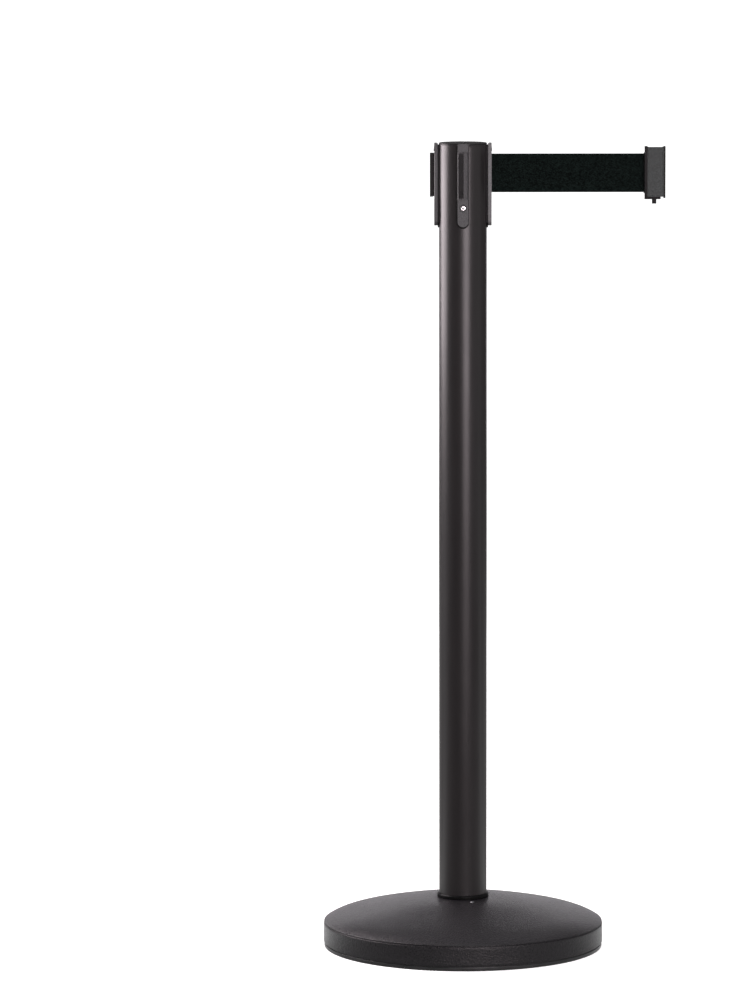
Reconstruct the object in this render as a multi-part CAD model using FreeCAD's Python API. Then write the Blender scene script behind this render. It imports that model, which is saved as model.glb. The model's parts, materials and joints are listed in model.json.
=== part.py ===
import FreeCAD, Part
import os, math

os.makedirs("parts", exist_ok=True)
V = FreeCAD.Vector

# ---------------------------------------------------------------------------
# Retractable belt stanchion.  Millimetres, +Z up.  The origin is on the floor,
# on the axis of the post.  The belt leaves along +X; the front is -Y.
# ---------------------------------------------------------------------------

# base
BASE_R = 177.0            # outer radius of the cover's rim
RIM_Z0, RIM_Z1 = 6.3, 31.0
COVER_T = 1.6
RING_R, RING_H = 176.3, 5.8
WEIGHT_R, WEIGHT_Z0, WEIGHT_T = 160.0, 4.0, 12.0
HUB_R, HUB_Z1 = 50.0, 30.0
DOME = [(176.3, 32.4), (172.0, 35.0), (160.0, 40.2), (140.0, 45.5), (120.0, 49.8),
        (100.0, 53.7), (80.0, 57.5), (60.0, 60.7), (45.0, 62.3), (30.8, 63.0)]

# post
TUBE_R, TUBE_T = 30.15, 1.5
TUBE_Z0, TUBE_Z1 = 30.0, 1017.5
TOP_Z = 1020.0

# the four face plates round the head
OFF = 2.0                 # slot and rail stand this far to the left of each face's centre
PLATE_W, PLATE_X0, PLATE_X1 = 14.1, 31.6, 36.0
PLATE_Z0, PLATE_Z1 = 915.0, 1019.0
BACK_W, BACK_Z0, BACK_Z1 = 15.1, 913.4, 1017.2
TAB_W, TAB_Z0, TAB_Z1, TAB_X = 12.3, 1009.6, 1019.6, 36.8
RAIL_Z0, RAIL_Z1 = 952.0, 1007.0
NECK_X0, NECK_W, FLANGE_W = 33.8, 2.8, 5.8
FLANGE_X0, FLANGE_X1 = 37.5, 41.4
SCREW_Z, SCREW_HEAD_R, SCREW_R = 939.0, 3.8, 1.95

# cassette inside the head
HOUSE_R, HOUSE_T = 28.4, 2.0
HOUSE_Z0, HOUSE_Z1 = 905.0, 1013.2
DECK_Z0, DECK_Z1 = 950.0, 953.0
LID_Z0 = 1010.2
AXLE_R = 3.0
SPOOL_HUB_R, SPOOL_FLANGE_R = 8.0, 20.6
SPOOL_Z0, SPOOL_Z1 = 954.6, 1009.1
FLANGE_T = 2.2
COIL_R = 18.7
CUP_R, CUP_Z0 = 26.1, 921.0
GUIDE_X, GUIDE_R, GUIDE_PIN_R = 23.4, 2.0, 1.0

# belt
BELT_T, BELT_Z0, BELT_Z1 = 0.5, 957.7, 1006.1
BELT_Y = -OFF

# belt end
CLIP_X0, CLIP_X1, CLIP_D = 227.5, 253.4, 14.0
CLIP_Z0, CLIP_Z1 = 953.0, 1015.0
BELT_PIN_X, BELT_PIN_R = 230.9, 1.15
SHELL_X0, SHELL_X1, SHELL_T = 230.8, 251.1, 1.7
SOCKET_X0, SOCKET_X1, SOCKET_W, MOUTH_W, SOCKET_Z1 = 247.6, 252.1, 6.6, 3.6, 1011.0
PLUNGER_X0, PLUNGER_X1 = 236.8, 242.2
PLUNGER_Z0 = 943.3
TRAVEL = 2.0


def box(x0, x1, y0, y1, z0, z1):
    return Part.makeBox(x1 - x0, y1 - y0, z1 - z0, V(x0, y0, z0))


def cyl(r, z0, z1, x=0.0, y=0.0):
    return Part.makeCylinder(r, z1 - z0, V(x, y, z0), V(0, 0, 1))


def tube(r0, r1, z0, z1, x=0.0, y=0.0):
    return cyl(r1, z0, z1, x, y).cut(cyl(r0, z0 - 1, z1 + 1, x, y))


def rod(r, a, b):
    a, b = V(*a), V(*b)
    return Part.makeCylinder(r, (b - a).Length, a, b - a)


def cone(r0, r1, a, b):
    a, b = V(*a), V(*b)
    return Part.makeCone(r0, r1, (b - a).Length, a, b - a)


def lathe(edges):
    """Closed profile of edges in the XZ plane turned about Z."""
    face = Part.Face(Part.Wire(Part.__sortEdges__(edges)))
    return face.revolve(V(0, 0, 0), V(0, 0, 1), 360)


def poly_edges(points):
    pts = [V(r, 0, z) for r, z in points]
    return [Part.LineSegment(pts[i], pts[i + 1]).toShape() for i in range(len(pts) - 1)]


def lathe_poly(points):
    return lathe(poly_edges(points + [points[0]]))


def turn(shape, degrees):
    s = shape.copy()
    s.rotate(V(0, 0, 0), V(0, 0, 1), degrees)
    return s


def moved(shape, x, y, z):
    s = shape.copy()
    s.translate(V(x, y, z))
    return s


def hexagon(across, z0, z1, x=0.0, y=0.0):
    r = across / math.sqrt(3)
    pts = [V(x + r * math.cos(math.radians(60 * i)), y + r * math.sin(math.radians(60 * i)), z0)
           for i in range(7)]
    return Part.Face(Part.makePolygon(pts)).extrude(V(0, 0, z1 - z0))


NODES = {}


def node(name, *solids):
    shape = solids[0] if len(solids) == 1 else Part.makeCompound(list(solids))
    NODES[name] = shape


# ------------------------------------------------------------------ the base
# rubber ring: the weight lies on its inner ledge, the cover's rim on its lip
node("floor_ring", lathe_poly([
    (150.0, 0.0), (RING_R - 1.2, 0.0), (RING_R, 1.2), (RING_R, RING_H - 0.8), (RING_R - 0.8, RING_H),
    (174.9, RING_H), (174.9, 14.0), (172.4, 14.0), (172.4, RING_H), (160.5, RING_H),
    (160.5, WEIGHT_Z0), (150.0, WEIGHT_Z0)]))

weight = lathe_poly([
    (6.6, 16.0), (22.0, 16.0), (22.0, WEIGHT_Z0), (WEIGHT_R - 2, WEIGHT_Z0), (WEIGHT_R, WEIGHT_Z0 + 2),
    (WEIGHT_R, WEIGHT_Z0 + WEIGHT_T - 3), (WEIGHT_R - 3, WEIGHT_Z0 + WEIGHT_T),
    (HUB_R + 6, WEIGHT_Z0 + WEIGHT_T), (HUB_R, HUB_Z1), (6.6, HUB_Z1)])
PIN_XY = (12.0, -42.5)
weight = weight.cut(cyl(1.3, 22.0, HUB_Z1 + 1, *PIN_XY))
node("base_weight", weight)

# cover: a pressed dome with an upright rim, one shell of even thickness
def spline(pts):
    c = Part.BSplineCurve()
    c.interpolate([V(r, 0, z) for r, z in pts])
    return c.toShape()


outer = list(DOME)
inner = []
for i, (r, z) in enumerate(outer):
    a = outer[max(i - 1, 0)]
    b = outer[min(i + 1, len(outer) - 1)]
    dr, dz = b[0] - a[0], b[1] - a[1]
    n = math.hypot(dr, dz)
    # the inward normal of the profile
    inner.append((r + dz / n * -COVER_T, z + dr / n * COVER_T))
inner[-1] = (DOME[-1][0], DOME[-1][1] - COVER_T)
inner[0] = (BASE_R - COVER_T - 0.9, DOME[0][1] - 1.9)
r_in = BASE_R - COVER_T
edges = [spline(outer),
         Part.LineSegment(V(outer[-1][0], 0, outer[-1][1]), V(inner[-1][0], 0, inner[-1][1])).toShape(),
         spline(inner),
         Part.LineSegment(V(inner[0][0], 0, inner[0][1]), V(r_in, 0, 25.2)).toShape(),
         Part.LineSegment(V(r_in, 0, 25.2), V(r_in, 0, RIM_Z0)).toShape(),
         Part.LineSegment(V(r_in, 0, RIM_Z0), V(BASE_R - 0.4, 0, RIM_Z0)).toShape(),
         Part.LineSegment(V(BASE_R - 0.4, 0, RIM_Z0), V(BASE_R, 0, RIM_Z0 + 0.8)).toShape(),
         Part.LineSegment(V(BASE_R, 0, RIM_Z0 + 0.8), V(BASE_R, 0, RIM_Z1)).toShape(),
         Part.Arc(V(BASE_R, 0, RIM_Z1), V(BASE_R - 0.2, 0, RIM_Z1 + 0.85), V(outer[0][0], 0, outer[0][1])).toShape()]
cover = lathe(edges)
cover = cover.cut(cyl(1.7, 50.0, 70.0, *PIN_XY))
node("base_cover", cover)

# small screw that pins the cover to the weight's hub
pin_z = 62.4
node("cover_screw", cyl(1.25, 22.5, pin_z, *PIN_XY).fuse(cyl(2.4, pin_z + 0.15, pin_z + 1.15, *PIN_XY))
     .fuse(cyl(1.25, pin_z - 1, pin_z + 0.5, *PIN_XY)).removeSplitter())

# trim ring round the foot of the post
node("post_collar", lathe_poly([
    (TUBE_R + 0.05, 63.05), (TUBE_R + 2.4, 63.05), (TUBE_R + 2.4, 66.4), (TUBE_R + 1.4, 68.2),
    (TUBE_R + 0.05, 68.2)]))

# threaded foot welded into the tube, with the bolt and washer from below
node("tube_foot", tube(6.05, TUBE_R - TUBE_T, 30.0, 42.0).fuse(tube(6.05, 12.0, 42.0, 50.0)).removeSplitter())
node("base_washer", tube(6.3, 14.0, 13.5, 16.0))
node("base_bolt", hexagon(19.0, 6.0, 13.5).fuse(cyl(6.0, 13.0, 52.0)).removeSplitter())

# ------------------------------------------------------------------ the post
post = tube(TUBE_R - TUBE_T, TUBE_R, TUBE_Z0, TUBE_Z1)
post = post.cut(box(25.0, 35.0, BELT_Y - 2.2, BELT_Y + 2.2, 955.5, 1008.3))
for k in range(4):
    post = post.cut(turn(rod(2.3, (20, 0, SCREW_Z), (40, 0, SCREW_Z)), 90 * k))
node("post_tube", post)

# cap: a flange flush with the tube, a hollow skirt inside it, and a groove across the top
cap = lathe_poly([
    (0.0, 1016.6), (24.5, 1016.6), (24.5, 1014.0), (TUBE_R - TUBE_T - 0.15, 1014.0),
    (TUBE_R - TUBE_T - 0.15, TUBE_Z1), (TUBE_R - 0.1, TUBE_Z1), (TUBE_R - 0.1, TOP_Z - 1.1),
    (TUBE_R - 1.2, TOP_Z), (0.0, TOP_Z)])
cap = cap.cut(box(0.9, 5.3, -40, 40, TOP_Z - 2.4, TOP_Z + 5))
node("top_cap", cap)

# --------------------------------------------- the plates on the four faces
def outline(width, x0, x1, z0, z1):
    """An upright bar with a half-round foot, extruded from x0 to x1."""
    h = width / 2
    arc = Part.Arc(V(x0, -h, z0 + h), V(x0, 0, z0), V(x0, h, z0 + h)).toShape()
    wire = Part.Wire([arc,
                      Part.LineSegment(V(x0, h, z0 + h), V(x0, h, z1)).toShape(),
                      Part.LineSegment(V(x0, h, z1), V(x0, -h, z1)).toShape(),
                      Part.LineSegment(V(x0, -h, z1), V(x0, -h, z0 + h)).toShape()])
    return Part.Face(wire).extrude(V(x1 - x0, 0, 0))


def soften(shape, size, keep):
    picked = [e for e in shape.Edges if keep(e)]
    return shape.makeChamfer(size, picked) if picked else shape


def face_plate(rail, slot):
    p = outline(PLATE_W, PLATE_X0, PLATE_X1, PLATE_Z0, PLATE_Z1)
    # the outer edge is broken all the way round
    p = soften(p, 0.6, lambda e: e.BoundBox.XMin > PLATE_X1 - 0.01 and e.BoundBox.ZMax < PLATE_Z1 + 0.01
               and not (e.BoundBox.ZMin > PLATE_Z1 - 0.01))
    tab = box(PLATE_X1 - 0.5, TAB_X, -TAB_W / 2, TAB_W / 2, TAB_Z0, TAB_Z1)
    p = p.fuse(tab)
    if rail:
        p = p.cut(box(NECK_X0, PLATE_X1 + 1, -OFF - NECK_W / 2, -OFF + NECK_W / 2, RAIL_Z0 + 0.6, RAIL_Z1))
    p = p.cut(rod(2.2, (PLATE_X0 - 1, 0, SCREW_Z), (PLATE_X1 + 1, 0, SCREW_Z)))
    p = p.cut(cone(2.2, SCREW_HEAD_R + 0.15, (33.0, 0, SCREW_Z), (34.9, 0, SCREW_Z)))
    p = p.cut(cone(SCREW_HEAD_R + 0.15, 5.1, (34.88, 0, SCREW_Z), (PLATE_X1 + 0.02, 0, SCREW_Z)))
    if slot:
        p = p.cut(box(PLATE_X0 - 1, PLATE_X1 + 1, BELT_Y - 1.5, BELT_Y + 1.5, 956.5, 1007.3))
    return p.removeSplitter()


def backing(slot):
    b = outline(BACK_W, TUBE_R - 3.0, PLATE_X0, BACK_Z0, BACK_Z1)
    b = b.cut(cyl(TUBE_R + 0.02, BACK_Z0 - 1, BACK_Z1 + 1))
    b = b.cut(rod(2.3, (20, 0, SCREW_Z), (40, 0, SCREW_Z)))
    if slot:
        b = b.cut(box(20, 40, BELT_Y - 1.9, BELT_Y + 1.9, 956.1, 1007.7))
    return b


def rail_bar():
    """A T-bar: its stem is let into the plate, and a pocket near its foot takes the latch."""
    r = box(FLANGE_X0, FLANGE_X1, -OFF - FLANGE_W / 2, -OFF + FLANGE_W / 2, RAIL_Z0, RAIL_Z1)
    r = soften(r, 0.5, lambda e: e.BoundBox.XMin > FLANGE_X1 - 0.01)
    r = r.fuse(box(NECK_X0, FLANGE_X0 + 0.5, -OFF - NECK_W / 2, -OFF + NECK_W / 2, RAIL_Z0 + 0.6, RAIL_Z1))
    r = r.cut(box(FLANGE_X1 - 1.7, FLANGE_X1 + 1, -OFF - 1.7, -OFF + 1.7, RAIL_Z0 + 4.2, RAIL_Z0 + 9.2))
    return r.removeSplitter()


FACES = {"front": 270, "left": 180, "back": 90}
for name, angle in FACES.items():
    node("receiver_" + name, turn(face_plate(True, False), angle))
    node("rail_" + name, turn(rail_bar(), angle))
    node("backing_" + name, turn(backing(False), angle))
node("exit_plate", face_plate(False, True))
node("backing_exit", backing(True))

screws = []
for angle in (0, 90, 180, 270):
    s = rod(SCREW_R, (27.0, 0, SCREW_Z), (34.0, 0, SCREW_Z))
    s = s.fuse(cone(SCREW_R, SCREW_HEAD_R, (33.1, 0, SCREW_Z), (34.85, 0, SCREW_Z)))
    s = s.fuse(cone(SCREW_HEAD_R, 2.6, (34.85, 0, SCREW_Z), (35.6, 0, SCREW_Z)))
    s = s.cut(rod(1.3, (34.3, 0, SCREW_Z), (36.5, 0, SCREW_Z)))
    screws.append(turn(s.removeSplitter(), angle))
node("receiver_screws", *screws)

# -------------------------------------------------- the cassette in the head
house = tube(HOUSE_R - HOUSE_T, HOUSE_R, HOUSE_Z0, HOUSE_Z1)
house = house.fuse(tube(6.6, HOUSE_R - HOUSE_T + 0.5, DECK_Z0, DECK_Z1))
house = house.cut(box(20.0, 35.0, BELT_Y - 2.0, BELT_Y + 2.0, 955.5, 1008.3))
for k in range(4):
    house = house.cut(turn(rod(2.0, (20, 0, SCREW_Z), (40, 0, SCREW_Z)), 90 * k))
GUIDE_Y1 = BELT_Y - BELT_T / 2 - 0.05 - GUIDE_R
GUIDE_Y2 = BELT_Y + BELT_T / 2 + 0.05 + GUIDE_R
for gy in (GUIDE_Y1, GUIDE_Y2):
    house = house.cut(cyl(GUIDE_PIN_R, DECK_Z0 - 1, DECK_Z1 + 1, GUIDE_X, gy))
node("cassette_housing", house.removeSplitter())

lid = tube(AXLE_R, HOUSE_R - HOUSE_T - 0.1, LID_Z0, HOUSE_Z1)
for gy in (GUIDE_Y1, GUIDE_Y2):
    lid = lid.cut(cyl(GUIDE_PIN_R, LID_Z0 - 1, LID_Z0 + 2, GUIDE_X, gy))
node("cassette_lid", lid)

node("guide_pins", cyl(GUIDE_PIN_R, DECK_Z0 + 0.5, LID_Z0 + 2, GUIDE_X, GUIDE_Y1),
     cyl(GUIDE_PIN_R, DECK_Z0 + 0.5, LID_Z0 + 2, GUIDE_X, GUIDE_Y2))
node("guide_roller_front", tube(GUIDE_PIN_R + 0.05, GUIDE_R, 954.0, 1009.2, GUIDE_X, GUIDE_Y1))
node("guide_roller_rear", tube(GUIDE_PIN_R + 0.05, GUIDE_R, 954.0, 1009.2, GUIDE_X, GUIDE_Y2))

cup = tube(CUP_R - 1.3, CUP_R, CUP_Z0, DECK_Z0 - 0.1).fuse(tube(AXLE_R, CUP_R, CUP_Z0, CUP_Z0 + 2.0))
node("spring_cup", cup.removeSplitter())
node("cup_ring", tube(23.4, HOUSE_R - HOUSE_T - 0.05, CUP_Z0 - 2.0, CUP_Z0 - 0.1).cut(
    box(-30, -15, -4, 4, CUP_Z0 - 3, CUP_Z0 + 1)))
node("spool_axle", cyl(AXLE_R, CUP_Z0 - 1.0, 1015.6))
node("axle_clip", tube(AXLE_R, 5.6, HOUSE_Z1, HOUSE_Z1 + 0.9).cut(box(-8, 0, -1.6, 1.6, HOUSE_Z1 - 1, HOUSE_Z1 + 2)))


def spiral(r0, pitch, halves, t, z0, z1):
    """A flat strip wound from half circles whose centres alternate."""
    def path(offset):
        out, c, r, side = [], 0.0, r0, 1
        for _ in range(halves):
            rr = r + offset
            out.append(Part.Arc(V(c + side * rr, 0, z0), V(c, side * rr, z0), V(c - side * rr, 0, z0)).toShape())
            c += side * pitch / 2
            r += pitch / 2
            side = -side
        return out
    a, b = path(-t / 2), path(t / 2)
    s0 = Part.LineSegment(V(r0 - t / 2, 0, z0), V(r0 + t / 2, 0, z0)).toShape()
    ea, eb = a[-1].Vertexes[-1].Point, b[-1].Vertexes[-1].Point
    s1 = Part.LineSegment(ea, eb).toShape()
    wire = Part.Wire(Part.__sortEdges__(a + b + [s0, s1]))
    return Part.Face(wire).extrude(V(0, 0, z1 - z0))


# the clock spring that winds the belt back in: its outer end is in the cup, its inner end on the arbor
node("mainspring", spiral(7.2, 1.6, 21, 0.5, 926.0, 946.0))

# spool: hub between two flanges, turning on brass bushes
drum = tube(5.0, SPOOL_HUB_R, SPOOL_Z0, SPOOL_Z1)
drum = drum.fuse(tube(5.0, SPOOL_FLANGE_R, SPOOL_Z0, SPOOL_Z0 + FLANGE_T))
drum = drum.fuse(tube(5.0, SPOOL_FLANGE_R, SPOOL_Z1 - FLANGE_T, SPOOL_Z1))
drum = drum.fuse(tube(3.6, 5.2, 962.0, 1002.0))
drum = drum.cut(cyl(1.05, 957.3, 1006.5, -7.0, 0.0))
node("spool_drum", drum.removeSplitter())
node("spool_bush_lower", tube(AXLE_R + 0.05, 5.0, SPOOL_Z0 + 0.2, 962.0))
node("spool_bush_upper", tube(AXLE_R + 0.05, 5.0, 1002.0, SPOOL_Z1 + 0.4))
node("belt_anchor", cyl(1.0, 957.4, 1006.4, -7.0, 0.0))
node("belt_coil", tube(SPOOL_HUB_R + 0.05, COIL_R, BELT_Z0, BELT_Z1))
node("spring_arbor", tube(AXLE_R + 0.05, 6.0, 924.4, SPOOL_Z0).cut(box(-9, -5.2, -0.5, 0.5, 925.0, 947.0)))

# ------------------------------------------------------------------ the belt
# straight from the coil to the front guide roller, round it, and out to the belt end
gx, gy, gr = GUIDE_X, GUIDE_Y1, GUIDE_R + 0.05
cr = COIL_R + 0.1
d = math.hypot(gx, gy)
base_a = math.atan2(gy, gx)
# inner tangent between the coil (belt on its -Y side) and the roller (belt on its +Y side)
phi = math.acos((cr + gr + BELT_T) / d)
ta = base_a - phi
n = V(math.cos(ta), math.sin(ta), 0)          # from the coil's centre to its tangent point
c0, g0 = V(0, 0, 0), V(gx, gy, 0)


def up(v, z):
    return V(v.x, v.y, z)


z0 = BELT_Z0
A_in = up(c0 + n * cr, z0)                     # face towards the coil
A_out = up(c0 + n * (cr + BELT_T), z0)
B_far = up(g0 - n * (gr + BELT_T), z0)         # face away from the roller
B_near = up(g0 - n * gr, z0)
top_far = V(gx, gy + gr + BELT_T, z0)
top_near = V(gx, gy + gr, z0)
mid_dir = (n * -1 + V(0, 1, 0))
mid_dir.normalize()
BELT_END = BELT_PIN_X - 1.35
e = [Part.LineSegment(A_in, A_out).toShape(),
     Part.LineSegment(A_out, B_near).toShape(),
     Part.Arc(B_near, up(g0 + mid_dir * gr, z0), top_near).toShape(),
     Part.LineSegment(top_near, V(BELT_END, gy + gr, z0)).toShape(),
     Part.LineSegment(V(BELT_END, gy + gr, z0), V(BELT_END, gy + gr + BELT_T, z0)).toShape(),
     Part.LineSegment(V(BELT_END, gy + gr + BELT_T, z0), top_far).toShape(),
     Part.Arc(top_far, up(g0 + mid_dir * (gr + BELT_T), z0), B_far).toShape(),
     Part.LineSegment(B_far, A_in).toShape()]
belt = Part.Face(Part.Wire(Part.__sortEdges__(e))).extrude(V(0, 0, BELT_Z1 - BELT_Z0))
# its end is looped round the pin of the belt end
belt = belt.fuse(tube(BELT_PIN_R + 0.05, BELT_PIN_R + 0.05 + BELT_T, BELT_Z0, BELT_Z1, BELT_PIN_X, BELT_Y))
node("belt", belt.removeSplitter())

# -------------------------------------------------------------- the belt end
cy = BELT_Y
hd = CLIP_D / 2
core = box(CLIP_X0, CLIP_X1, cy - hd, cy + hd, CLIP_Z0, CLIP_Z1 - 1.0)
core = core.fuse(box(CLIP_X0, SHELL_X0, cy - hd, cy + hd, CLIP_Z0, CLIP_Z1))
core = core.fuse(box(SHELL_X1, CLIP_X1, cy - hd, cy + hd, CLIP_Z0 - 2.5, CLIP_Z1)).removeSplitter()
core = soften(core, 0.8, lambda e: e.BoundBox.XLength < 0.01 and e.BoundBox.YLength < 0.01)
# recesses for the two shells
for s in (-1, 1):
    ya, yb = sorted((cy + s * (hd - SHELL_T - 0.05), cy + s * (hd + 1)))
    core = core.cut(box(SHELL_X0 - 0.05, SHELL_X1 + 0.05, ya, yb, CLIP_Z0 - 5, CLIP_Z1 + 1))
# the belt's way in, and the bore of its pin
core = core.cut(box(CLIP_X0 - 1, BELT_PIN_X, cy - 0.7, cy + 0.7, BELT_Z0 - 0.5, BELT_Z1 + 0.5))
core = core.cut(cyl(2.0, BELT_Z0 - 0.5, BELT_Z1 + 0.5, BELT_PIN_X, cy))
core = core.cut(cyl(BELT_PIN_R + 0.05, BELT_Z0 - 3.0, BELT_Z1 + 3.0, BELT_PIN_X, cy))
# T-socket at the free end, open at the bottom
core = core.cut(box(SOCKET_X0, SOCKET_X1, cy - SOCKET_W / 2, cy + SOCKET_W / 2, CLIP_Z0 - 5, SOCKET_Z1))
core = core.cut(box(SOCKET_X1 - 0.5, CLIP_X1 + 1, cy - MOUTH_W / 2, cy + MOUTH_W / 2, CLIP_Z0 - 5, SOCKET_Z1))
# ways for the release blade, the pawl and the spring
core = core.cut(box(235.5, 243.3, cy - 1.5, cy + 1.5, CLIP_Z0 - 1, 971.0))
core = core.cut(box(236.4, SOCKET_X0 + 0.1, cy - 3.2, cy + 3.2, 959.2, 964.8))
core = core.cut(cyl(2.7, 967.9, 983.0, 239.5, cy))
core = core.cut(box(PLUNGER_X0 - 0.3, PLUNGER_X1 + 0.3, cy - 2.7, cy + 2.7, CLIP_Z0 - 1, CLIP_Z0 + 2.4))
for sx in (230.2, 244.6):
    for sy in (-3.6, 3.6):
        core = core.cut(cyl(1.0, CLIP_Z0 - 1, CLIP_Z0 + 5.5, sx, cy + sy))
node("clip_core", core)

for name, s in (("front", -1), ("back", 1)):
    ya, yb = sorted((cy + s * (hd - SHELL_T), cy + s * hd))
    sh = box(SHELL_X0, SHELL_X1, ya, yb, CLIP_Z0 - 0.9, CLIP_Z1 - 0.9)
    edge = yb if s > 0 else ya
    sh = soften(sh, 0.5, lambda e: abs(e.BoundBox.YMin - edge) < 0.01 and abs(e.BoundBox.YMax - edge) < 0.01)
    node("clip_shell_" + name, sh)

plate = box(CLIP_X0, SOCKET_X0 - 0.1, cy - hd + 1.9, cy + hd - 1.9, CLIP_Z0 - 4.0, CLIP_Z0 - 0.05)
plate = plate.cut(box(PLUNGER_X0 - 0.25, PLUNGER_X1 + 0.25, cy - 2.65, cy + 2.65, CLIP_Z0 - 6, CLIP_Z0 + 1))
small = []
for sx in (230.2, 244.6):
    for sy in (-3.6, 3.6):
        plate = plate.cut(cyl(1.1, CLIP_Z0 - 6, CLIP_Z0 + 1, sx, cy + sy))
        plate = plate.cut(cyl(1.45, CLIP_Z0 - 6, CLIP_Z0 - 2.6, sx, cy + sy))
node("clip_bottom_plate", plate)
for sx in (230.2, 244.6):
    for sy in (-3.6, 3.6):
        small.append(cyl(0.95, CLIP_Z0 - 3.0, CLIP_Z0 + 5.0, sx, cy + sy).fuse(
            cyl(1.35, CLIP_Z0 - 3.9, CLIP_Z0 - 2.7, sx, cy + sy)).removeSplitter())
node("clip_screws", *small)
node("belt_pin", cyl(BELT_PIN_R, BELT_Z0 - 2.8, BELT_Z1 + 2.8, BELT_PIN_X, cy))

# release plunger: pushed up, its slanted slot draws the pawl out of the socket
blade = box(235.8, 243.0, cy - 1.2, cy + 1.2, CLIP_Z0, 968.0)
blade = blade.fuse(box(PLUNGER_X0, PLUNGER_X1, cy - 2.4, cy + 2.4, PLUNGER_Z0, CLIP_Z0 - 0.1))
blade = blade.fuse(box(PLUNGER_X0, PLUNGER_X1, cy - 1.2, cy + 1.2, CLIP_Z0 - 0.5, CLIP_Z0 + 1))
blade = blade.fuse(cyl(1.2, 967.5, 970.6, 239.5, cy))
PX, PZ = 240.4, 962.0
slot = Part.makeBox(TRAVEL * math.sqrt(2), 6.0, 2.1, V(0, -3.0, -1.05))
slot.rotate(V(0, 0, 0), V(0, 1, 0), -45)
slot = moved(slot, PX - TRAVEL, cy, PZ - TRAVEL)
slot = slot.fuse(rod(1.05, (PX, cy - 3, PZ), (PX, cy + 3, PZ))).fuse(
    rod(1.05, (PX - TRAVEL, cy - 3, PZ - TRAVEL), (PX - TRAVEL, cy + 3, PZ - TRAVEL)))
blade = blade.cut(slot)
node("release_plunger", blade.removeSplitter())

# pawl: a fork round the blade, carrying the tooth that reaches into the socket
pawl = box(238.9, 247.5, cy - 2.9, cy + 2.9, 959.5, 964.5)
pawl = pawl.cut(box(238.0, 245.4, cy - 1.35, cy + 1.35, 958.0, 966.0))
pawl = pawl.fuse(box(247.0, 249.3, cy - 1.35, cy + 1.35, 960.6, 964.5))
pawl = pawl.cut(rod(1.0, (PX, cy - 4, PZ), (PX, cy + 4, PZ)))
node("latch_pawl", pawl.removeSplitter())
node("latch_pin", rod(1.0, (PX, cy - 2.9, PZ), (PX, cy + 2.9, PZ)))

# return spring over the blade's spigot, as a stack of separate coils would be one strip:
# a true helix of round wire
WIRE, COIL_MEAN = 0.22, 1.9
helix = Part.makeHelix(2.2, 13.2, COIL_MEAN)
helix.translate(V(239.5, cy, 968.6))
start = V(239.5 + COIL_MEAN, cy, 968.6)
ring = Part.Wire(Part.makeCircle(WIRE, start, V(0, 1, 0.18)))
spring = Part.Wire(helix).makePipeShell([ring], True, True)
node("plunger_spring", spring)

# ------------------------------------------------------------------ write out
for name, shape in NODES.items():
    bad = [i for i, s in enumerate(shape.Solids) if not s.isValid()]
    shape.exportStep("parts/" + name + ".step")
    b = shape.BoundBox
    print("%-20s solids %d vol %10.1f  x %.2f..%.2f y %.2f..%.2f z %.2f..%.2f %s" % (
        name, len(shape.Solids), shape.Volume, b.XMin, b.XMax, b.YMin, b.YMax, b.ZMin, b.ZMax,
        "BAD" if bad or not shape.Solids else ""))
print(len(NODES), "nodes")
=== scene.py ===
import bpy
import bmesh
import json
import math
import numpy as np
from mathutils import Vector, Matrix


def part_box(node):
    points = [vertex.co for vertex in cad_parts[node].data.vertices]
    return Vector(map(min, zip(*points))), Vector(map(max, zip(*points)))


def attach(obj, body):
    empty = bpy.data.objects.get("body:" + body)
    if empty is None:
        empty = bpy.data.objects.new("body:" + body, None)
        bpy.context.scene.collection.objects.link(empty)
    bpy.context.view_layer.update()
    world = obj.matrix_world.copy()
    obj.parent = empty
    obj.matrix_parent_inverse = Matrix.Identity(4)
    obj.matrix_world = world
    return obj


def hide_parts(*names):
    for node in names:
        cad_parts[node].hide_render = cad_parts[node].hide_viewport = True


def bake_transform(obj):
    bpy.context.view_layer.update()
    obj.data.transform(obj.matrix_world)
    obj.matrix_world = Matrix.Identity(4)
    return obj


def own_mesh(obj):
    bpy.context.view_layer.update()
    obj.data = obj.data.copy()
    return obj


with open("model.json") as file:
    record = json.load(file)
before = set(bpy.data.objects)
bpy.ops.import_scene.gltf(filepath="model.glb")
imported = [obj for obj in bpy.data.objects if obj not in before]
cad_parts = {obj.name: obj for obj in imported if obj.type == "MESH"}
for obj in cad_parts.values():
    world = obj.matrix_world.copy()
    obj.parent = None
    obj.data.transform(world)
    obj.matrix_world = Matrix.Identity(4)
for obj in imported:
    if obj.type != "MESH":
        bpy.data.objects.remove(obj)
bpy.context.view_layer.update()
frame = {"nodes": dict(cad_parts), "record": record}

SCENE = bpy.context.scene
MM = 0.001

# ---------------------------------------------------------------------------
# sizes, in millimetres, the same as the CAD model's, except the plates, which are narrower and end higher so that the
# black backings show round them as painted shade
# ---------------------------------------------------------------------------
BASE_R, RIM_Z0, RIM_Z1, COVER_T = 177.0, 6.3, 31.0, 1.6
RING_R, RING_H = 176.3, 5.8
DOME = [(176.3, 32.4), (172.0, 35.0), (160.0, 40.2), (140.0, 45.5), (120.0, 49.8),
        (100.0, 53.7), (80.0, 57.5), (60.0, 60.7), (45.0, 62.3), (30.8, 63.0)]
TUBE_R, TUBE_T, TUBE_Z0, TUBE_Z1, TOP_Z = 30.15, 1.5, 30.0, 1017.5, 1020.0
OFF = 2.0
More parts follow.
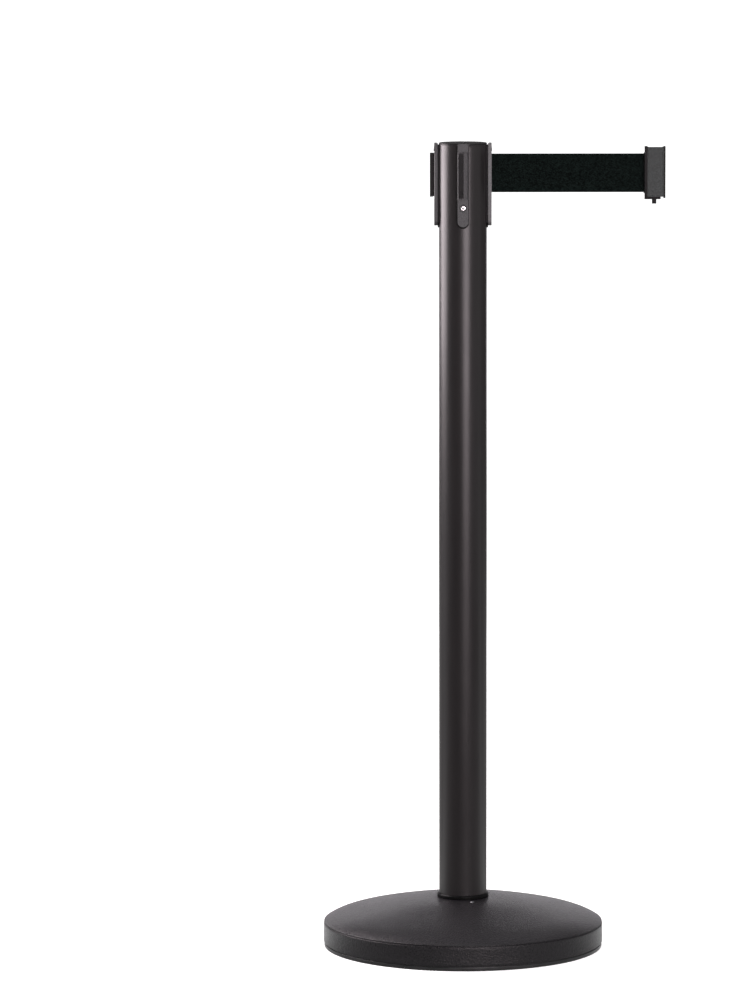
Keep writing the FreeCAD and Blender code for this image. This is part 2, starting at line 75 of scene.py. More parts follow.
# the plates are narrower and end higher than the black backings behind them, so a black rim of backing shows along
# their sides and foot: painted shade beside and under the plates
PLATE_W, PLATE_X0, PLATE_X1 = 13.5, 31.6, 36.0
PLATE_Z0, PLATE_Z1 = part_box("exit_plate")[0].z * 1000 + 0.9, 1019.0
BACK_W, BACK_Z0, BACK_Z1 = 14.9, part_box("backing_exit")[0].z * 1000, 1017.2
TAB_W, TAB_Z0, TAB_Z1, TAB_X = 12.3, 1009.6, 1019.6, 36.8
RAIL_Z0, RAIL_Z1 = 952.0, 1007.0
NECK_X0, NECK_W, FLANGE_W, FLANGE_X0, FLANGE_X1 = 33.8, 2.8, 5.8, 37.5, 41.4
SCREW_Z, SCREW_HEAD_R, SCREW_R = 939.0, 3.8, 1.95
BELT_T, BELT_Z0, BELT_Z1, BELT_Y = 0.5, 957.7, 1006.1, -2.0
COIL_R, HUB_R = 18.7, 8.05
GUIDE_X, GUIDE_R = 23.4, 2.0
CLIP_X0, CLIP_X1, CLIP_D = 227.5, 253.4, 14.0
CLIP_Z0, CLIP_Z1 = 953.0, 1015.0
SHELL_X0, SHELL_X1, SHELL_T = 230.8, 251.1, 1.7
SOCKET_X0, SOCKET_X1, SOCKET_W, MOUTH_W, SOCKET_Z1 = 247.6, 252.1, 6.6, 3.6, 1011.0
PLUNGER_X0, PLUNGER_X1, PLUNGER_Z0 = 236.8, 242.2, 943.3
PIN_X, PIN_R = 230.9, 1.15


# ---------------------------------------------------------------------------
# materials
# ---------------------------------------------------------------------------
class Mat:
    """A procedural material: a Principled shader and short names for its nodes."""

    def __init__(self, name, color, rough, metallic=0.0, spec=0.5):
        self.m = bpy.data.materials.new(name)
        self.m.use_nodes = True
        self.nt = self.m.node_tree
        self.nt.nodes.clear()
        self.out = self.nt.nodes.new("ShaderNodeOutputMaterial")
        self.b = self.nt.nodes.new("ShaderNodeBsdfPrincipled")
        self.nt.links.new(self.b.outputs[0], self.out.inputs[0])
        self.b.inputs["Base Color"].default_value = (*color, 1)
        self.b.inputs["Roughness"].default_value = rough
        self.b.inputs["Metallic"].default_value = metallic
        self.b.inputs["Specular IOR Level"].default_value = spec
        self.color = color
        self.tc = self.nt.nodes.new("ShaderNodeTexCoord")
        self.last_bump = None

    def link(self, a, b):
        self.nt.links.new(a, b)

    def coords(self, scale=(1, 1, 1), rot=(0, 0, 0)):
        n = self.nt.nodes.new("ShaderNodeMapping")
        n.inputs["Scale"].default_value = scale
        n.inputs["Rotation"].default_value = rot
        self.link(self.tc.outputs["Object"], n.inputs["Vector"])
        return n.outputs[0]

    def noise(self, scale, detail=2.0, rough=0.5, vec=None, distort=0.0):
        n = self.nt.nodes.new("ShaderNodeTexNoise")
        n.inputs["Scale"].default_value = scale
        n.inputs["Detail"].default_value = detail
        n.inputs["Roughness"].default_value = rough
        n.inputs["Distortion"].default_value = distort
        self.link(vec if vec is not None else self.tc.outputs["Object"], n.inputs["Vector"])
        return n.outputs["Fac"]

    def voronoi(self, scale, vec=None, feature="F1", smooth=None):
        n = self.nt.nodes.new("ShaderNodeTexVoronoi")
        n.feature = feature
        n.inputs["Scale"].default_value = scale
        self.link(vec if vec is not None else self.tc.outputs["Object"], n.inputs["Vector"])
        return n.outputs["Distance"]

    def ramp(self, fac, stops):
        n = self.nt.nodes.new("ShaderNodeValToRGB")
        while len(n.color_ramp.elements) > 2:
            n.color_ramp.elements.remove(n.color_ramp.elements[-1])
        for i, (p, c) in enumerate(stops):
            e = n.color_ramp.elements[i] if i < 2 else n.color_ramp.elements.new(p)
            e.position = p
            e.color = (*c, 1) if isinstance(c, tuple) else (c, c, c, 1)
        self.link(fac, n.inputs["Fac"])
        return n.outputs["Color"]

    def mix(self, fac, a, b):
        n = self.nt.nodes.new("ShaderNodeMix")
        n.data_type = "RGBA"
        for s, v in ((n.inputs[0], fac), (n.inputs[6], a), (n.inputs[7], b)):
            if hasattr(v, "is_linked") or hasattr(v, "links"):
                self.link(v, s)
            else:
                s.default_value = (*v, 1) if isinstance(v, tuple) else v
        return n.outputs[2]

    def math(self, op, a, b=None, c=None):
        n = self.nt.nodes.new("ShaderNodeMath")
        n.operation = op
        for i, v in enumerate((a, b, c)):
            if v is None:
                continue
            if isinstance(v, (int, float)):
                n.inputs[i].default_value = v
            else:
                self.link(v, n.inputs[i])
        return n.outputs[0]

    def bump(self, height, strength, distance):
        n = self.nt.nodes.new("ShaderNodeBump")
        n.inputs["Strength"].default_value = strength
        n.inputs["Distance"].default_value = distance
        self.link(height, n.inputs["Height"])
        if self.last_bump is not None:
            self.link(self.last_bump, n.inputs["Normal"])
        self.last_bump = n.outputs["Normal"]
        self.link(self.last_bump, self.b.inputs["Normal"])
        return self

    def set_color(self, sock):
        self.link(sock, self.b.inputs["Base Color"])

    def set_rough(self, fac, lo, hi):
        n = self.nt.nodes.new("ShaderNodeMapRange")
        n.inputs["To Min"].default_value = lo
        n.inputs["To Max"].default_value = hi
        n.inputs["From Min"].default_value = 0.3
        n.inputs["From Max"].default_value = 0.7
        self.link(fac, n.inputs["Value"])
        self.link(n.outputs[0], self.b.inputs["Roughness"])


def scaled(c, k):
    return tuple(x * k for x in c)


def make_satin_black():
    # powder-coated steel: an even satin film with slight orange peel and faint handling marks
    c = (0.0128, 0.0112, 0.0116)
    m = Mat("satin_black_coat", c, 0.33, spec=0.42)
    wide = m.noise(18, 3, 0.55)
    streak = m.noise(60, 4, 0.6, m.coords((1, 1, 0.07)))
    m.set_color(m.mix(m.ramp(streak, [(0.35, 0.0), (0.75, 1.0)]), scaled(c, 0.92), scaled(c, 1.14)))
    m.set_rough(m.math("ADD", m.math("MULTIPLY", wide, 0.5), m.math("MULTIPLY", streak, 0.5)), 0.30, 0.37)
    m.bump(m.noise(420, 2, 0.5), 0.16, 0.0002)
    m.bump(m.noise(1900, 2, 0.6), 0.10, 0.00006)
    return m.m


def make_textured_black():
    # the base's coarser textured coat: fine raised grain, close set
    c = (0.0098, 0.0090, 0.0102)
    m = Mat("textured_black_coat", c, 0.42, spec=0.36)
    grain = m.noise(620, 3, 0.7)
    speck = m.voronoi(820)
    wide = m.noise(9, 3, 0.5)
    m.set_color(m.mix(m.ramp(grain, [(0.36, 0.0), (0.64, 1.0)]), scaled(c, 0.62), scaled(c, 1.42)))
    m.set_rough(m.math("ADD", m.math("MULTIPLY", wide, 0.25), m.math("MULTIPLY", grain, 0.75)), 0.22, 0.46)
    m.bump(m.noise(160, 2, 0.5), 0.10, 0.0004)
    m.bump(m.voronoi(420), 0.40, 0.0008)
    m.bump(m.noise(600, 1, 0.5), 0.35, 0.0007)
    m.bump(grain, 0.70, 0.0005)
    m.bump(speck, 0.45, 0.00024)
    return m.m


def make_rubber():
    c = (0.010, 0.010, 0.0105)
    m = Mat("moulded_rubber", c, 0.32, spec=0.5)
    n = m.noise(300, 3, 0.6)
    ring = m.noise(40, 3, 0.6)
    m.set_color(m.mix(m.ramp(ring, [(0.4, 0.0), (0.72, 1.0)]), c, scaled(c, 1.7)))
    m.set_rough(ring, 0.24, 0.42)
    m.bump(n, 0.15, 0.0002)
    return m.m


def make_plastic(name, c, rough, spec, grain_scale=1100, grain=0.35, mottle=0.0, dist=0.00012, speckle=0.0):
    # injection-moulded plastic with a spark-eroded tool texture
    m = Mat(name, c, rough, spec=spec)
    g = m.noise(grain_scale, 3, 0.65)
    w = m.noise(90, 5, 0.7)
    if mottle:
        col = m.mix(m.ramp(w, [(0.34, 0.0), (0.68, 1.0)]), scaled(c, 1 - mottle), scaled(c, 1 + mottle))
        if speckle:
            fine = m.ramp(m.noise(850, 3, 0.7), [(0.36, 1 - speckle), (0.64, 1 + speckle)])
            mul = m.nt.nodes.new("ShaderNodeMix")
            mul.data_type, mul.blend_type = "RGBA", "MULTIPLY"
            mul.clamp_result = False
            mul.inputs[0].default_value = 1.0
            m.link(col, mul.inputs[6])
            m.link(fine, mul.inputs[7])
            col = mul.outputs[2]
        m.set_color(col)
    else:
        m.set_color(m.mix(m.ramp(w, [(0.3, 0.0), (0.7, 1.0)]), scaled(c, 0.93), scaled(c, 1.07)))
    m.set_rough(w, rough - 0.05, rough + 0.06)
    m.bump(g, grain, dist)
    m.bump(m.noise(230, 2, 0.5), grain * 0.35, 0.0002)
    return m.m


def make_webbing():
    # a 2/2 twill of round polyester yarns: warp along the belt, weft across it
    c = (0.0016, 0.0027, 0.0024)
    m = Mat("polyester_webbing", c, 0.75, spec=0.02)
    m.b.inputs["Sheen Weight"].default_value = 0.0
    m.b.inputs["Sheen Roughness"].default_value = 0.45
    sep = m.nt.nodes.new("ShaderNodeSeparateXYZ")
    m.link(m.tc.outputs["Object"], sep.inputs[0])
    x, z = sep.outputs["X"], sep.outputs["Z"]
    wob = m.math("MULTIPLY", m.math("SUBTRACT", m.noise(180, 2, 0.5), 0.5), 0.35)
    u = m.math("ADD", m.math("MULTIPLY", x, 1 / 0.00125), wob)      # weft pitch 1.25 mm
    v = m.math("ADD", m.math("MULTIPLY", z, 1 / 0.00080), wob)      # warp pitch 0.8 mm
    iu, iv = m.math("FLOOR", u), m.math("FLOOR", v)
    fu, fv = m.math("FRACT", u), m.math("FRACT", v)
    k = m.math("FLOORED_MODULO", m.math("ADD", iu, iv), 4.0)
    over = m.math("LESS_THAN", k, 1.99)
    warp = m.math("SINE", m.math("MULTIPLY", fv, math.pi))
    weft = m.math("SINE", m.math("MULTIPLY", fu, math.pi))
    # warp yarns bulge where they pass over, weft yarns where the warp dips
    hw = m.math("MULTIPLY", warp, m.math("ADD", 0.55, m.math("MULTIPLY", over, 0.45)))
    hf = m.math("MULTIPLY", m.math("MULTIPLY", weft, m.math("SUBTRACT", 1.0, over)), 0.75)
    h = m.math("MAXIMUM", hw, hf)
    fibre = m.noise(2600, 2, 0.6, m.coords((0.25, 1, 1)))
    coarse = m.math("ADD", m.math("MULTIPLY", m.noise(420, 3, 0.7), 0.45), m.math("MULTIPLY", m.noise(1000, 2, 0.6), 0.55))
    # the raised yarns are painted lighter and the hollows between them darker, a painted shade of the weave, mixed
    # half and half with random coarse tone
    weave_shade_tone = m.math("ADD", m.math("MULTIPLY", h, 0.5), m.math("MULTIPLY", coarse, 0.5))
    # yarns take the dye unevenly, so single picks stand out
    cell = m.nt.nodes.new("ShaderNodeCombineXYZ")
    m.link(iu, cell.inputs[0])
    m.link(iv, cell.inputs[1])
    pick = m.nt.nodes.new("ShaderNodeTexWhiteNoise")
    pick.noise_dimensions = "3D"
    m.link(cell.outputs[0], pick.inputs["Vector"])
    drift = m.noise(300, 2, 0.6)
    fleck = m.ramp(m.math("ADD", m.math("MULTIPLY", pick.outputs["Value"], 0.55), m.math("MULTIPLY", drift, 0.60)), [(0.35, 0.0), (0.82, 1.0)])
    dark = m.mix(fleck, scaled(c, 0.03), scaled(c, 0.30))
    light = m.mix(fleck, scaled(c, 1.0), scaled(c, 6.0))
    m.set_color(m.mix(m.ramp(weave_shade_tone, [(0.34, 0.0), (0.70, 1.0)]), dark, light))
    m.set_rough(coarse, 0.55, 0.72)
    m.bump(h, 0.75, 0.00022)
    m.bump(fibre, 0.25, 0.00005)
    return m.m


def make_metal(name, c, rough, scale=(1, 1, 1), grain=0.12, spot=0.10):
    m = Mat(name, c, rough, metallic=1.0)
    n = m.noise(900, 3, 0.6, m.coords(scale))
    w = m.noise(120, 3, 0.55)
    m.set_color(m.mix(m.ramp(w, [(0.35, 0.0), (0.7, 1.0)]), scaled(c, 1 - spot), c))
    m.set_rough(n, rough * 0.8, rough * 1.25)
    m.bump(n, grain, 0.00004)
    return m.m


def make_cast_iron():
    c = (0.06, 0.06, 0.063)
    m = Mat("cast_iron_primer", c, 0.75, spec=0.35)
    n = m.noise(240, 5, 0.7)
    w = m.noise(20, 4, 0.6)
    m.set_color(m.mix(m.ramp(w, [(0.35, 0.0), (0.7, 1.0)]), scaled(c, 0.7), (0.085, 0.075, 0.068)))
    m.set_rough(n, 0.62, 0.88)
    m.bump(n, 0.6, 0.0006)
    return m.m


MATS = {
    "satin_black": make_satin_black(),
    "textured_black": make_textured_black(),
    "rubber": make_rubber(),
    "cast_iron": make_cast_iron(),
    "black_plastic": make_plastic("black_moulding", (0.0034, 0.0035, 0.0036), 0.42, 0.09, grain=0.2),
    "cap_black": make_plastic("cap_moulding", (0.0105, 0.0098, 0.0100), 0.42, 0.22),
    # exit_face is the plate plastic painted nearly twice as light: painted light on the belt-side plate
    "exit_face": make_plastic("exit_plate_moulding_lit", (0.098, 0.097, 0.100), 0.46, 0.34, mottle=0.12, grain=0.8, speckle=0.26),
    "face_plastic": make_plastic("plate_moulding", (0.052, 0.0515, 0.0535), 0.50, 0.28, mottle=0.10, grain=0.8, speckle=0.26),
    "rail_black": make_plastic("rail_moulding", (0.0038, 0.0038, 0.0042), 0.38, 0.12, grain=0.15),
    "clip_grey": make_plastic("belt_end_moulding", (0.033, 0.037, 0.0365), 0.54, 0.18, mottle=0.20, speckle=0.34, grain=0.55),
    "webbing": make_webbing(),
    "chrome": make_metal("bright_nickel", (0.88, 0.88, 0.88), 0.26, grain=0.02, spot=0.03),
    "zinc_steel": make_metal("zinc_plate", (0.60, 0.61, 0.63), 0.28),
    "dark_steel": make_metal("black_oxide_steel", (0.10, 0.10, 0.105), 0.38),
    "spring_steel": make_metal("spring_strip", (0.30, 0.31, 0.34), 0.24, (1, 1, 0.1)),
    "brass": make_metal("turned_brass", (0.78, 0.56, 0.25), 0.25, (1, 1, 6)),
    "white_nylon": make_plastic("natural_nylon", (0.78, 0.77, 0.72), 0.42, 0.5, grain=0.1),
}

# every CAD node gets the finish of its own slot
for part_row in frame["record"]["subparts"]:
    node_obj = frame["nodes"][part_row["node"]]
    node_obj.data.materials.clear()
    node_obj.data.materials.append(MATS[part_row["material_slot"]])


# ---------------------------------------------------------------------------
# mesh tools
# ---------------------------------------------------------------------------
def new_mesh(name, verts, faces):
    me = bpy.data.meshes.new(name)
    me.from_pydata([tuple(float(c) * MM for c in v) for v in verts], [], [tuple(f) for f in faces])
    me.validate()
    me.update()
    ob = bpy.data.objects.new(name, me)
    SCENE.collection.objects.link(ob)
    return ob


def tidy(ob):
    """Merges doubles and turns every face outward."""
    bm = bmesh.new()
    bm.from_mesh(ob.data)
    bmesh.ops.remove_doubles(bm, verts=bm.verts, dist=1e-7)
    bmesh.ops.recalc_face_normals(bm, faces=bm.faces)
    bm.to_mesh(ob.data)
    bm.free()
    return ob


def apply_mods(ob):
    dg = bpy.context.evaluated_depsgraph_get()
    dg.update()
    me = bpy.data.meshes.new_from_object(ob.evaluated_get(dg))
    old = ob.data
    ob.modifiers.clear()
    ob.data = me
    bpy.data.meshes.remove(old)
    return ob


def boolean(ob, cutter, op="DIFFERENCE"):
    m = ob.modifiers.new("b", "BOOLEAN")
    m.operation = op
    m.object = cutter
    m.solver = "EXACT"
    apply_mods(ob)
    bpy.data.objects.remove(cutter)
    return ob


def bevel(ob, width, segments=3, angle=38, clamp=True):
    m = ob.modifiers.new("v", "BEVEL")
    m.width = width * MM
    m.segments = segments
    m.limit_method = "ANGLE"
    m.angle_limit = math.radians(angle)
    m.use_clamp_overlap = clamp
    m.miter_outer = "MITER_ARC"
    return apply_mods(ob)


def shade(ob, angle=40, weighted=True):
    me = ob.data
    me.polygons.foreach_set("use_smooth", [True] * len(me.polygons))
    me.set_sharp_from_angle(angle=math.radians(angle))
    if weighted:
        m = ob.modifiers.new("w", "WEIGHTED_NORMAL")
        m.keep_sharp = True
        m.weight = 70
        apply_mods(ob)
    return ob


def finish_piece(ob, body, slot, *nodes, ride=True):
    ob.data.materials.clear()
    ob.data.materials.append(MATS[slot])
    if ride:
        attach(ob, body)
    if nodes:
        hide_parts(*nodes)
    return ob


def lathe(name, profile, segs=128, closed=True, axis="Z"):
    """Turns a list of (r, h) about an axis. A closed profile is a ring section; points with r = 0 become poles."""
    verts, rings = [], []
    for r, h in profile:
        if r < 1e-6:
            rings.append([len(verts)] * segs)
            verts.append((0, 0, h))
        else:
            start = len(verts)
            for i in range(segs):
                a = 2 * math.pi * i / segs
                verts.append((r * math.cos(a), r * math.sin(a), h))
            rings.append(list(range(start, start + segs)))
    faces = []
    count = len(rings) if closed else len(rings) - 1
    for k in range(count):
        a, b = rings[k], rings[(k + 1) % len(rings)]
        for i in range(segs):
            j = (i + 1) % segs
            f = []
            for idx in (a[i], a[j], b[j], b[i]):
                if idx not in f:
                    f.append(idx)
            if len(f) >= 3:
                faces.append(f)
    if axis == "X":
        verts = [(z, x, y) for x, y, z in verts]
    return tidy(new_mesh(name, verts, faces))


def rounded(points, radii, steps=5):
    """A polyline of (r, z) with its corners rounded; radii gives each corner's radius, 0 for a sharp one."""
    out, n = [], len(points)
    for i, p in enumerate(points):
        rad = radii[i] if isinstance(radii, (list, tuple)) else radii
        if rad <= 0:
            out.append(p)
            continue
        a, b = np.array(points[i - 1], float), np.array(points[(i + 1) % n], float)
        c = np.array(p, float)
        u, v = (a - c), (b - c)
        lu, lv = np.linalg.norm(u), np.linalg.norm(v)
        u, v = u / lu, v / lv
        half = math.acos(max(-1, min(1, float(u @ v)))) / 2
        t = min(rad / math.tan(half), lu * 0.49, lv * 0.49)
        rr = t * math.tan(half)
        centre = c + (u + v) / np.linalg.norm(u + v) * (rr / math.sin(half))
        p0, p1 = c + u * t - centre, c + v * t - centre
        a0, a1 = math.atan2(p0[1], p0[0]), math.atan2(p1[1], p1[0])
        d = (a1 - a0 + math.pi) % (2 * math.pi) - math.pi
        for s in range(steps + 1):
            q = a0 + d * s / steps
            out.append((centre[0] + rr * math.cos(q), centre[1] + rr * math.sin(q)))
    return out


def extrude(name, outline, lo, hi, axis="X"):
    """A prism from a closed outline. axis X: outline is (y, z); Z: (x, y); Y: (x, z)."""
    n = len(outline)

    def put(p, h):
        return {"X": (h, p[0], p[1]), "Z": (p[0], p[1], h), "Y": (p[0], h, p[1])}[axis]
    verts = [put(p, lo) for p in outline] + [put(p, hi) for p in outline]
    faces = [list(range(n)), list(range(n, 2 * n))]
    faces += [[i, (i + 1) % n, n + (i + 1) % n, n + i] for i in range(n)]
    return tidy(new_mesh(name, verts, faces))


def box(name, x0, x1, y0, y1, z0, z1):
    return extrude(name, [(x0, y0), (x1, y0), (x1, y1), (x0, y1)], z0, z1, "Z")


def turned(ob, degrees):
    ob.data.transform(Matrix.Rotation(math.radians(degrees), 4, "Z"))
    return ob


def join(name, *obs):
    bm = bmesh.new()
    for o in obs:
        bm.from_mesh(o.data)
    me = bpy.data.meshes.new(name)
    bm.to_mesh(me)
    bm.free()
    for o in obs:
        bpy.data.objects.remove(o)
    ob = bpy.data.objects.new(name, me)
    SCENE.collection.objects.link(ob)
    return ob


def cubic(points, per=8):
    """A smooth curve through points: a natural cubic spline on chord length."""
    P = np.array(points, float)
    t = np.r_[0, np.cumsum(np.linalg.norm(np.diff(P, axis=0), axis=1))]
    n = len(t)
    h = np.diff(t)
    A = np.zeros((n, n))
    R = np.zeros((n, P.shape[1]))
    A[0, 0] = A[-1, -1] = 1
    for i in range(1, n - 1):
        A[i, i - 1], A[i, i], A[i, i + 1] = h[i - 1], 2 * (h[i - 1] + h[i]), h[i]
        R[i] = 6 * ((P[i + 1] - P[i]) / h[i] - (P[i] - P[i - 1]) / h[i - 1])
    M2 = np.linalg.solve(A, R)
    out = []
    for i in range(n - 1):
        for k in range(per):
            s = k / per * h[i]
            a = (M2[i + 1] - M2[i]) / (6 * h[i])
            b = M2[i] / 2
            c = (P[i + 1] - P[i]) / h[i] - h[i] * (2 * M2[i] + M2[i + 1]) / 6
            out.append(tuple(P[i] + c * s + b * s * s + a * s ** 3))
    out.append(tuple(P[-1]))
    return out


# ---------------------------------------------------------------------------
# the base
# ---------------------------------------------------------------------------
dome = cubic(DOME, 7)
inner_dome = []
for i, (r, z) in enumerate(dome):
    a, b = dome[max(i - 1, 0)], dome[min(i + 1, len(dome) - 1)]
    dr, dz = b[0] - a[0], b[1] - a[1]
    n = math.hypot(dr, dz)
    inner_dome.append((r - dz / n * COVER_T, z + dr / n * COVER_T))
inner_dome[-1] = (dome[-1][0], dome[-1][1] - COVER_T)
inner_dome = [p for p in inner_dome if p[0] < BASE_R - COVER_T - 0.3]
# rolled lower lip, upright rim, tight shoulder, dome, rolled edge of the centre hole
profile = [(BASE_R - COVER_T, RIM_Z0 + 0.5), (BASE_R - COVER_T + 0.3, RIM_Z0 + 0.1), (BASE_R - 0.6, RIM_Z0),
           (BASE_R - 0.2, RIM_Z0 + 0.15), (BASE_R, RIM_Z0 + 0.55)]
profile += [(BASE_R, z) for z in np.linspace(RIM_Z0 + 2.5, RIM_Z1 - 1.5, 9)]
# the rim's rolled top edge, the seam groove under the dome's edge, and the dome's own tight edge
profile += [(BASE_R - 0.04, RIM_Z1 - 1.35), (BASE_R - 0.17, RIM_Z1 - 1.0), (BASE_R - 0.38, RIM_Z1 - 0.73), (BASE_R - 0.66, RIM_Z1 - 0.55),
            (BASE_R - 1.00, RIM_Z1 - 0.46), (BASE_R - 1.22, RIM_Z1 - 0.2), (BASE_R - 1.22, RIM_Z1 + 0.3), (BASE_R - 1.00, RIM_Z1 + 0.56),
            (BASE_R - 0.56, RIM_Z1 + 0.62), (BASE_R - 0.42, RIM_Z1 + 0.74), (BASE_R - 0.40, RIM_Z1 + 0.95), (BASE_R - 0.50, RIM_Z1 + 1.20)]
profile += dome[:-1] + [(DOME[-1][0] + 0.35, DOME[-1][1] - 0.02), (DOME[-1][0] + 0.05, DOME[-1][1] - 0.3),
                        (DOME[-1][0], DOME[-1][1] - COVER_T + 0.2)]
profile += list(reversed(inner_dome)) + [(BASE_R - COVER_T, 25.4)]
cover = lathe("base_cover_pressed", profile, 288)
shade(cover, 50, weighted=False)
finish_piece(cover, "post", "textured_black", "base_cover")

ring_pts = [(150.0, 0.0), (RING_R, 0.0), (RING_R, 4.9), (174.9, 4.9), (174.9, 14.0), (172.4, 14.0),
            (172.4, RING_H), (160.5, RING_H), (160.5, 4.0), (150.0, 4.0)]
ring = lathe("floor_ring_moulded", rounded(ring_pts, [0.4, 1.2, 0.5, 0, 0.6, 0.6, 0, 0.4, 0, 0.4], 5), 288)
shade(ring, 45, weighted=False)
finish_piece(ring, "post", "rubber", "floor_ring")

collar = lathe("post_collar_moulded", rounded(
    [(TUBE_R + 0.05, 63.05), (TUBE_R + 2.4, 63.05), (TUBE_R + 2.4, 66.6), (TUBE_R + 1.3, 68.2), (TUBE_R + 0.05, 68.2)],
    [0, 0.4, 0.9, 0.5, 0.2], 4), 160)
shade(collar, 40, weighted=False)
finish_piece(collar, "post", "black_plastic", "post_collar")

# the small screw in the cover
px, py, pz = 12.0, -42.5, 62.55
cs = lathe("cover_screw_head", [(0, pz + 1.0), (0.9, pz + 0.96), (1.5, pz + 0.8), (2.0, pz + 0.5), (2.35, pz + 0.12),
                                (2.4, pz), (2.3, pz - 0.05), (1.3, pz - 0.05), (1.25, pz - 0.4), (1.25, 24.0), (0.9, 22.6), (0, 22.5)],
           40, closed=False)
hexa = [(0.8 * math.cos(math.radians(60 * k)), 0.8 * math.sin(math.radians(60 * k))) for k in range(6)]
boolean(cs, extrude("cut", hexa, pz + 0.35, pz + 2, "Z"))
cs.data.transform(Matrix.Translation((px * MM, py * MM, 0)))
shade(cs, 35)
finish_piece(cs, "post", "zinc_steel", "cover_screw")


# ---------------------------------------------------------------------------
# the post
# ---------------------------------------------------------------------------
def make_tube():
    """The steel tube as clean quads: columns snapped to the belt slot's edges, and the slot left open."""
    n = 240
    ang = [2 * math.pi * i / n for i in range(n)]
    e0, e1 = math.asin((BELT_Y - 2.2) / TUBE_R), math.asin((BELT_Y + 2.2) / TUBE_R)
    snapped = {}
    for e in (e0, e1):
        i = round((e % (2 * math.pi)) / (2 * math.pi) * n) % n
        ang[i] = e
        snapped[e] = i
    first, last = snapped[e0], snapped[e1]
    in_slot = []
    i = first
    while i != last:
        in_slot.append(i)
        i = (i + 1) % n
    ro, ri = TUBE_R, TUBE_R - TUBE_T
    zs = [TUBE_Z0 + 0.3] + list(np.linspace(80, 880, 9)) + [913, 930, 948, 955.5, 970, 985, 1000, 1008.3, TUBE_Z1 - 0.35]
    rows = []        # each row: (r_outer, r_inner, z)
    verts = []

    def ring_at(r, z):
        s = len(verts)
        verts.extend((r * math.cos(a), r * math.sin(a), z) for a in ang)
        return s
    outer = [ring_at(ro, z) for z in zs]
    inner = [ring_at(ri, z) for z in zs]
    top = [ring_at(ro - 0.12, TUBE_Z1 - 0.08), ring_at(ro - 0.4, TUBE_Z1), ring_at(ri + 0.3, TUBE_Z1), ring_at(ri + 0.08, TUBE_Z1 - 0.1)]
    bottom = [ring_at(ri + 0.3, TUBE_Z0), ring_at(ro - 0.3, TUBE_Z0)]
    z_lo, z_hi = zs.index(955.5), zs.index(1008.3)
    faces = []

    def band(a, b, skip=()):
        for i in range(n):
            if i in skip:
                continue
            j = (i + 1) % n
            faces.append([a + i, a + j, b + j, b + i])
    for k in range(len(zs) - 1):
        skip = in_slot if z_lo <= k < z_hi else ()
        band(outer[k], outer[k + 1], skip)
        band(inner[k], inner[k + 1], skip)
    loop = [outer[-1]] + top + [inner[-1]]
    for a, b in zip(loop, loop[1:]):
        band(a, b)
    loop = [inner[0]] + bottom + [outer[0]]
    for a, b in zip(loop, loop[1:]):
        band(a, b)
    # the walls of the slot
    for k in range(z_lo, z_hi):
        for c in (first, last):
            faces.append([outer[k] + c, outer[k + 1] + c, inner[k + 1] + c, inner[k] + c])
    for i in in_slot:
        j = (i + 1) % n
        for k in (z_lo, z_hi):
            faces.append([outer[k] + i, outer[k] + j, inner[k] + j, inner[k] + i])
    return tidy(new_mesh("post_tube_steel", verts, faces))


tube = make_tube()
for k in range(4):
    cut = lathe("cut", [(0, 24), (2.3, 24), (2.3, 34), (0, 34)], 32, closed=False, axis="X")
    cut.data.transform(Matrix.Translation((0, 0, SCREW_Z * MM)))
    boolean(tube, turned(cut, 90 * k))
shade(tube, 40, weighted=False)
finish_piece(tube, "post", "satin_black", "post_tube")

# cap: rounded flange flush with the tube, hollow skirt, and a groove right across
R = TUBE_R
cap_pts = [(0.0, 1016.6), (24.5, 1016.6), (24.5, 1014.0), (R - TUBE_T - 0.15, 1014.0), (R - TUBE_T - 0.15, TUBE_Z1),
           (R - 0.1, TUBE_Z1), (R - 0.1, TOP_Z), (R - 3.4, TOP_Z), (R - 3.9, TOP_Z - 0.35), (0.0, TOP_Z - 0.35)]
cap = lathe("top_cap_moulded", rounded(cap_pts, [0, 0, 0.3, 0.4, 0, 0.25, 1.25, 0.3, 0.3, 0], 6), 192, closed=False)
boolean(cap, box("cut", 0.9, 5.3, -40, 40, TOP_Z - 2.4, TOP_Z + 5))
bevel(cap, 0.25, 2, 50)
shade(cap, 38)
finish_piece(cap, "post", "cap_black", "top_cap")


# ---------------------------------------------------------------------------
# the four face plates, their rails and backings
# ---------------------------------------------------------------------------
def bar_outline(width, z0, z1, corner=0.5, steps=40):
    h = width / 2
    pts = [(h * math.cos(a), z0 + h + h * math.sin(a)) for a in np.linspace(-math.pi, 0, steps + 1)]
    return pts + rounded([(h, z0 + h), (h, z1), (-h, z1), (-h, z0 + h)], [0, corner, corner, 0], 4)[1:-1]


def screw_cutter():
    c = lathe("cut", [(0, PLATE_X0 - 1), (2.2, PLATE_X0 - 1), (2.2, 33.0), (SCREW_HEAD_R + 0.15, 34.9), (5.1, PLATE_X1), (5.4, PLATE_X1 + 0.3), (5.4, 40), (0, 40)],
              56, closed=False, axis="X")
    c.data.transform(Matrix.Translation((0, 0, SCREW_Z * MM)))
    return c


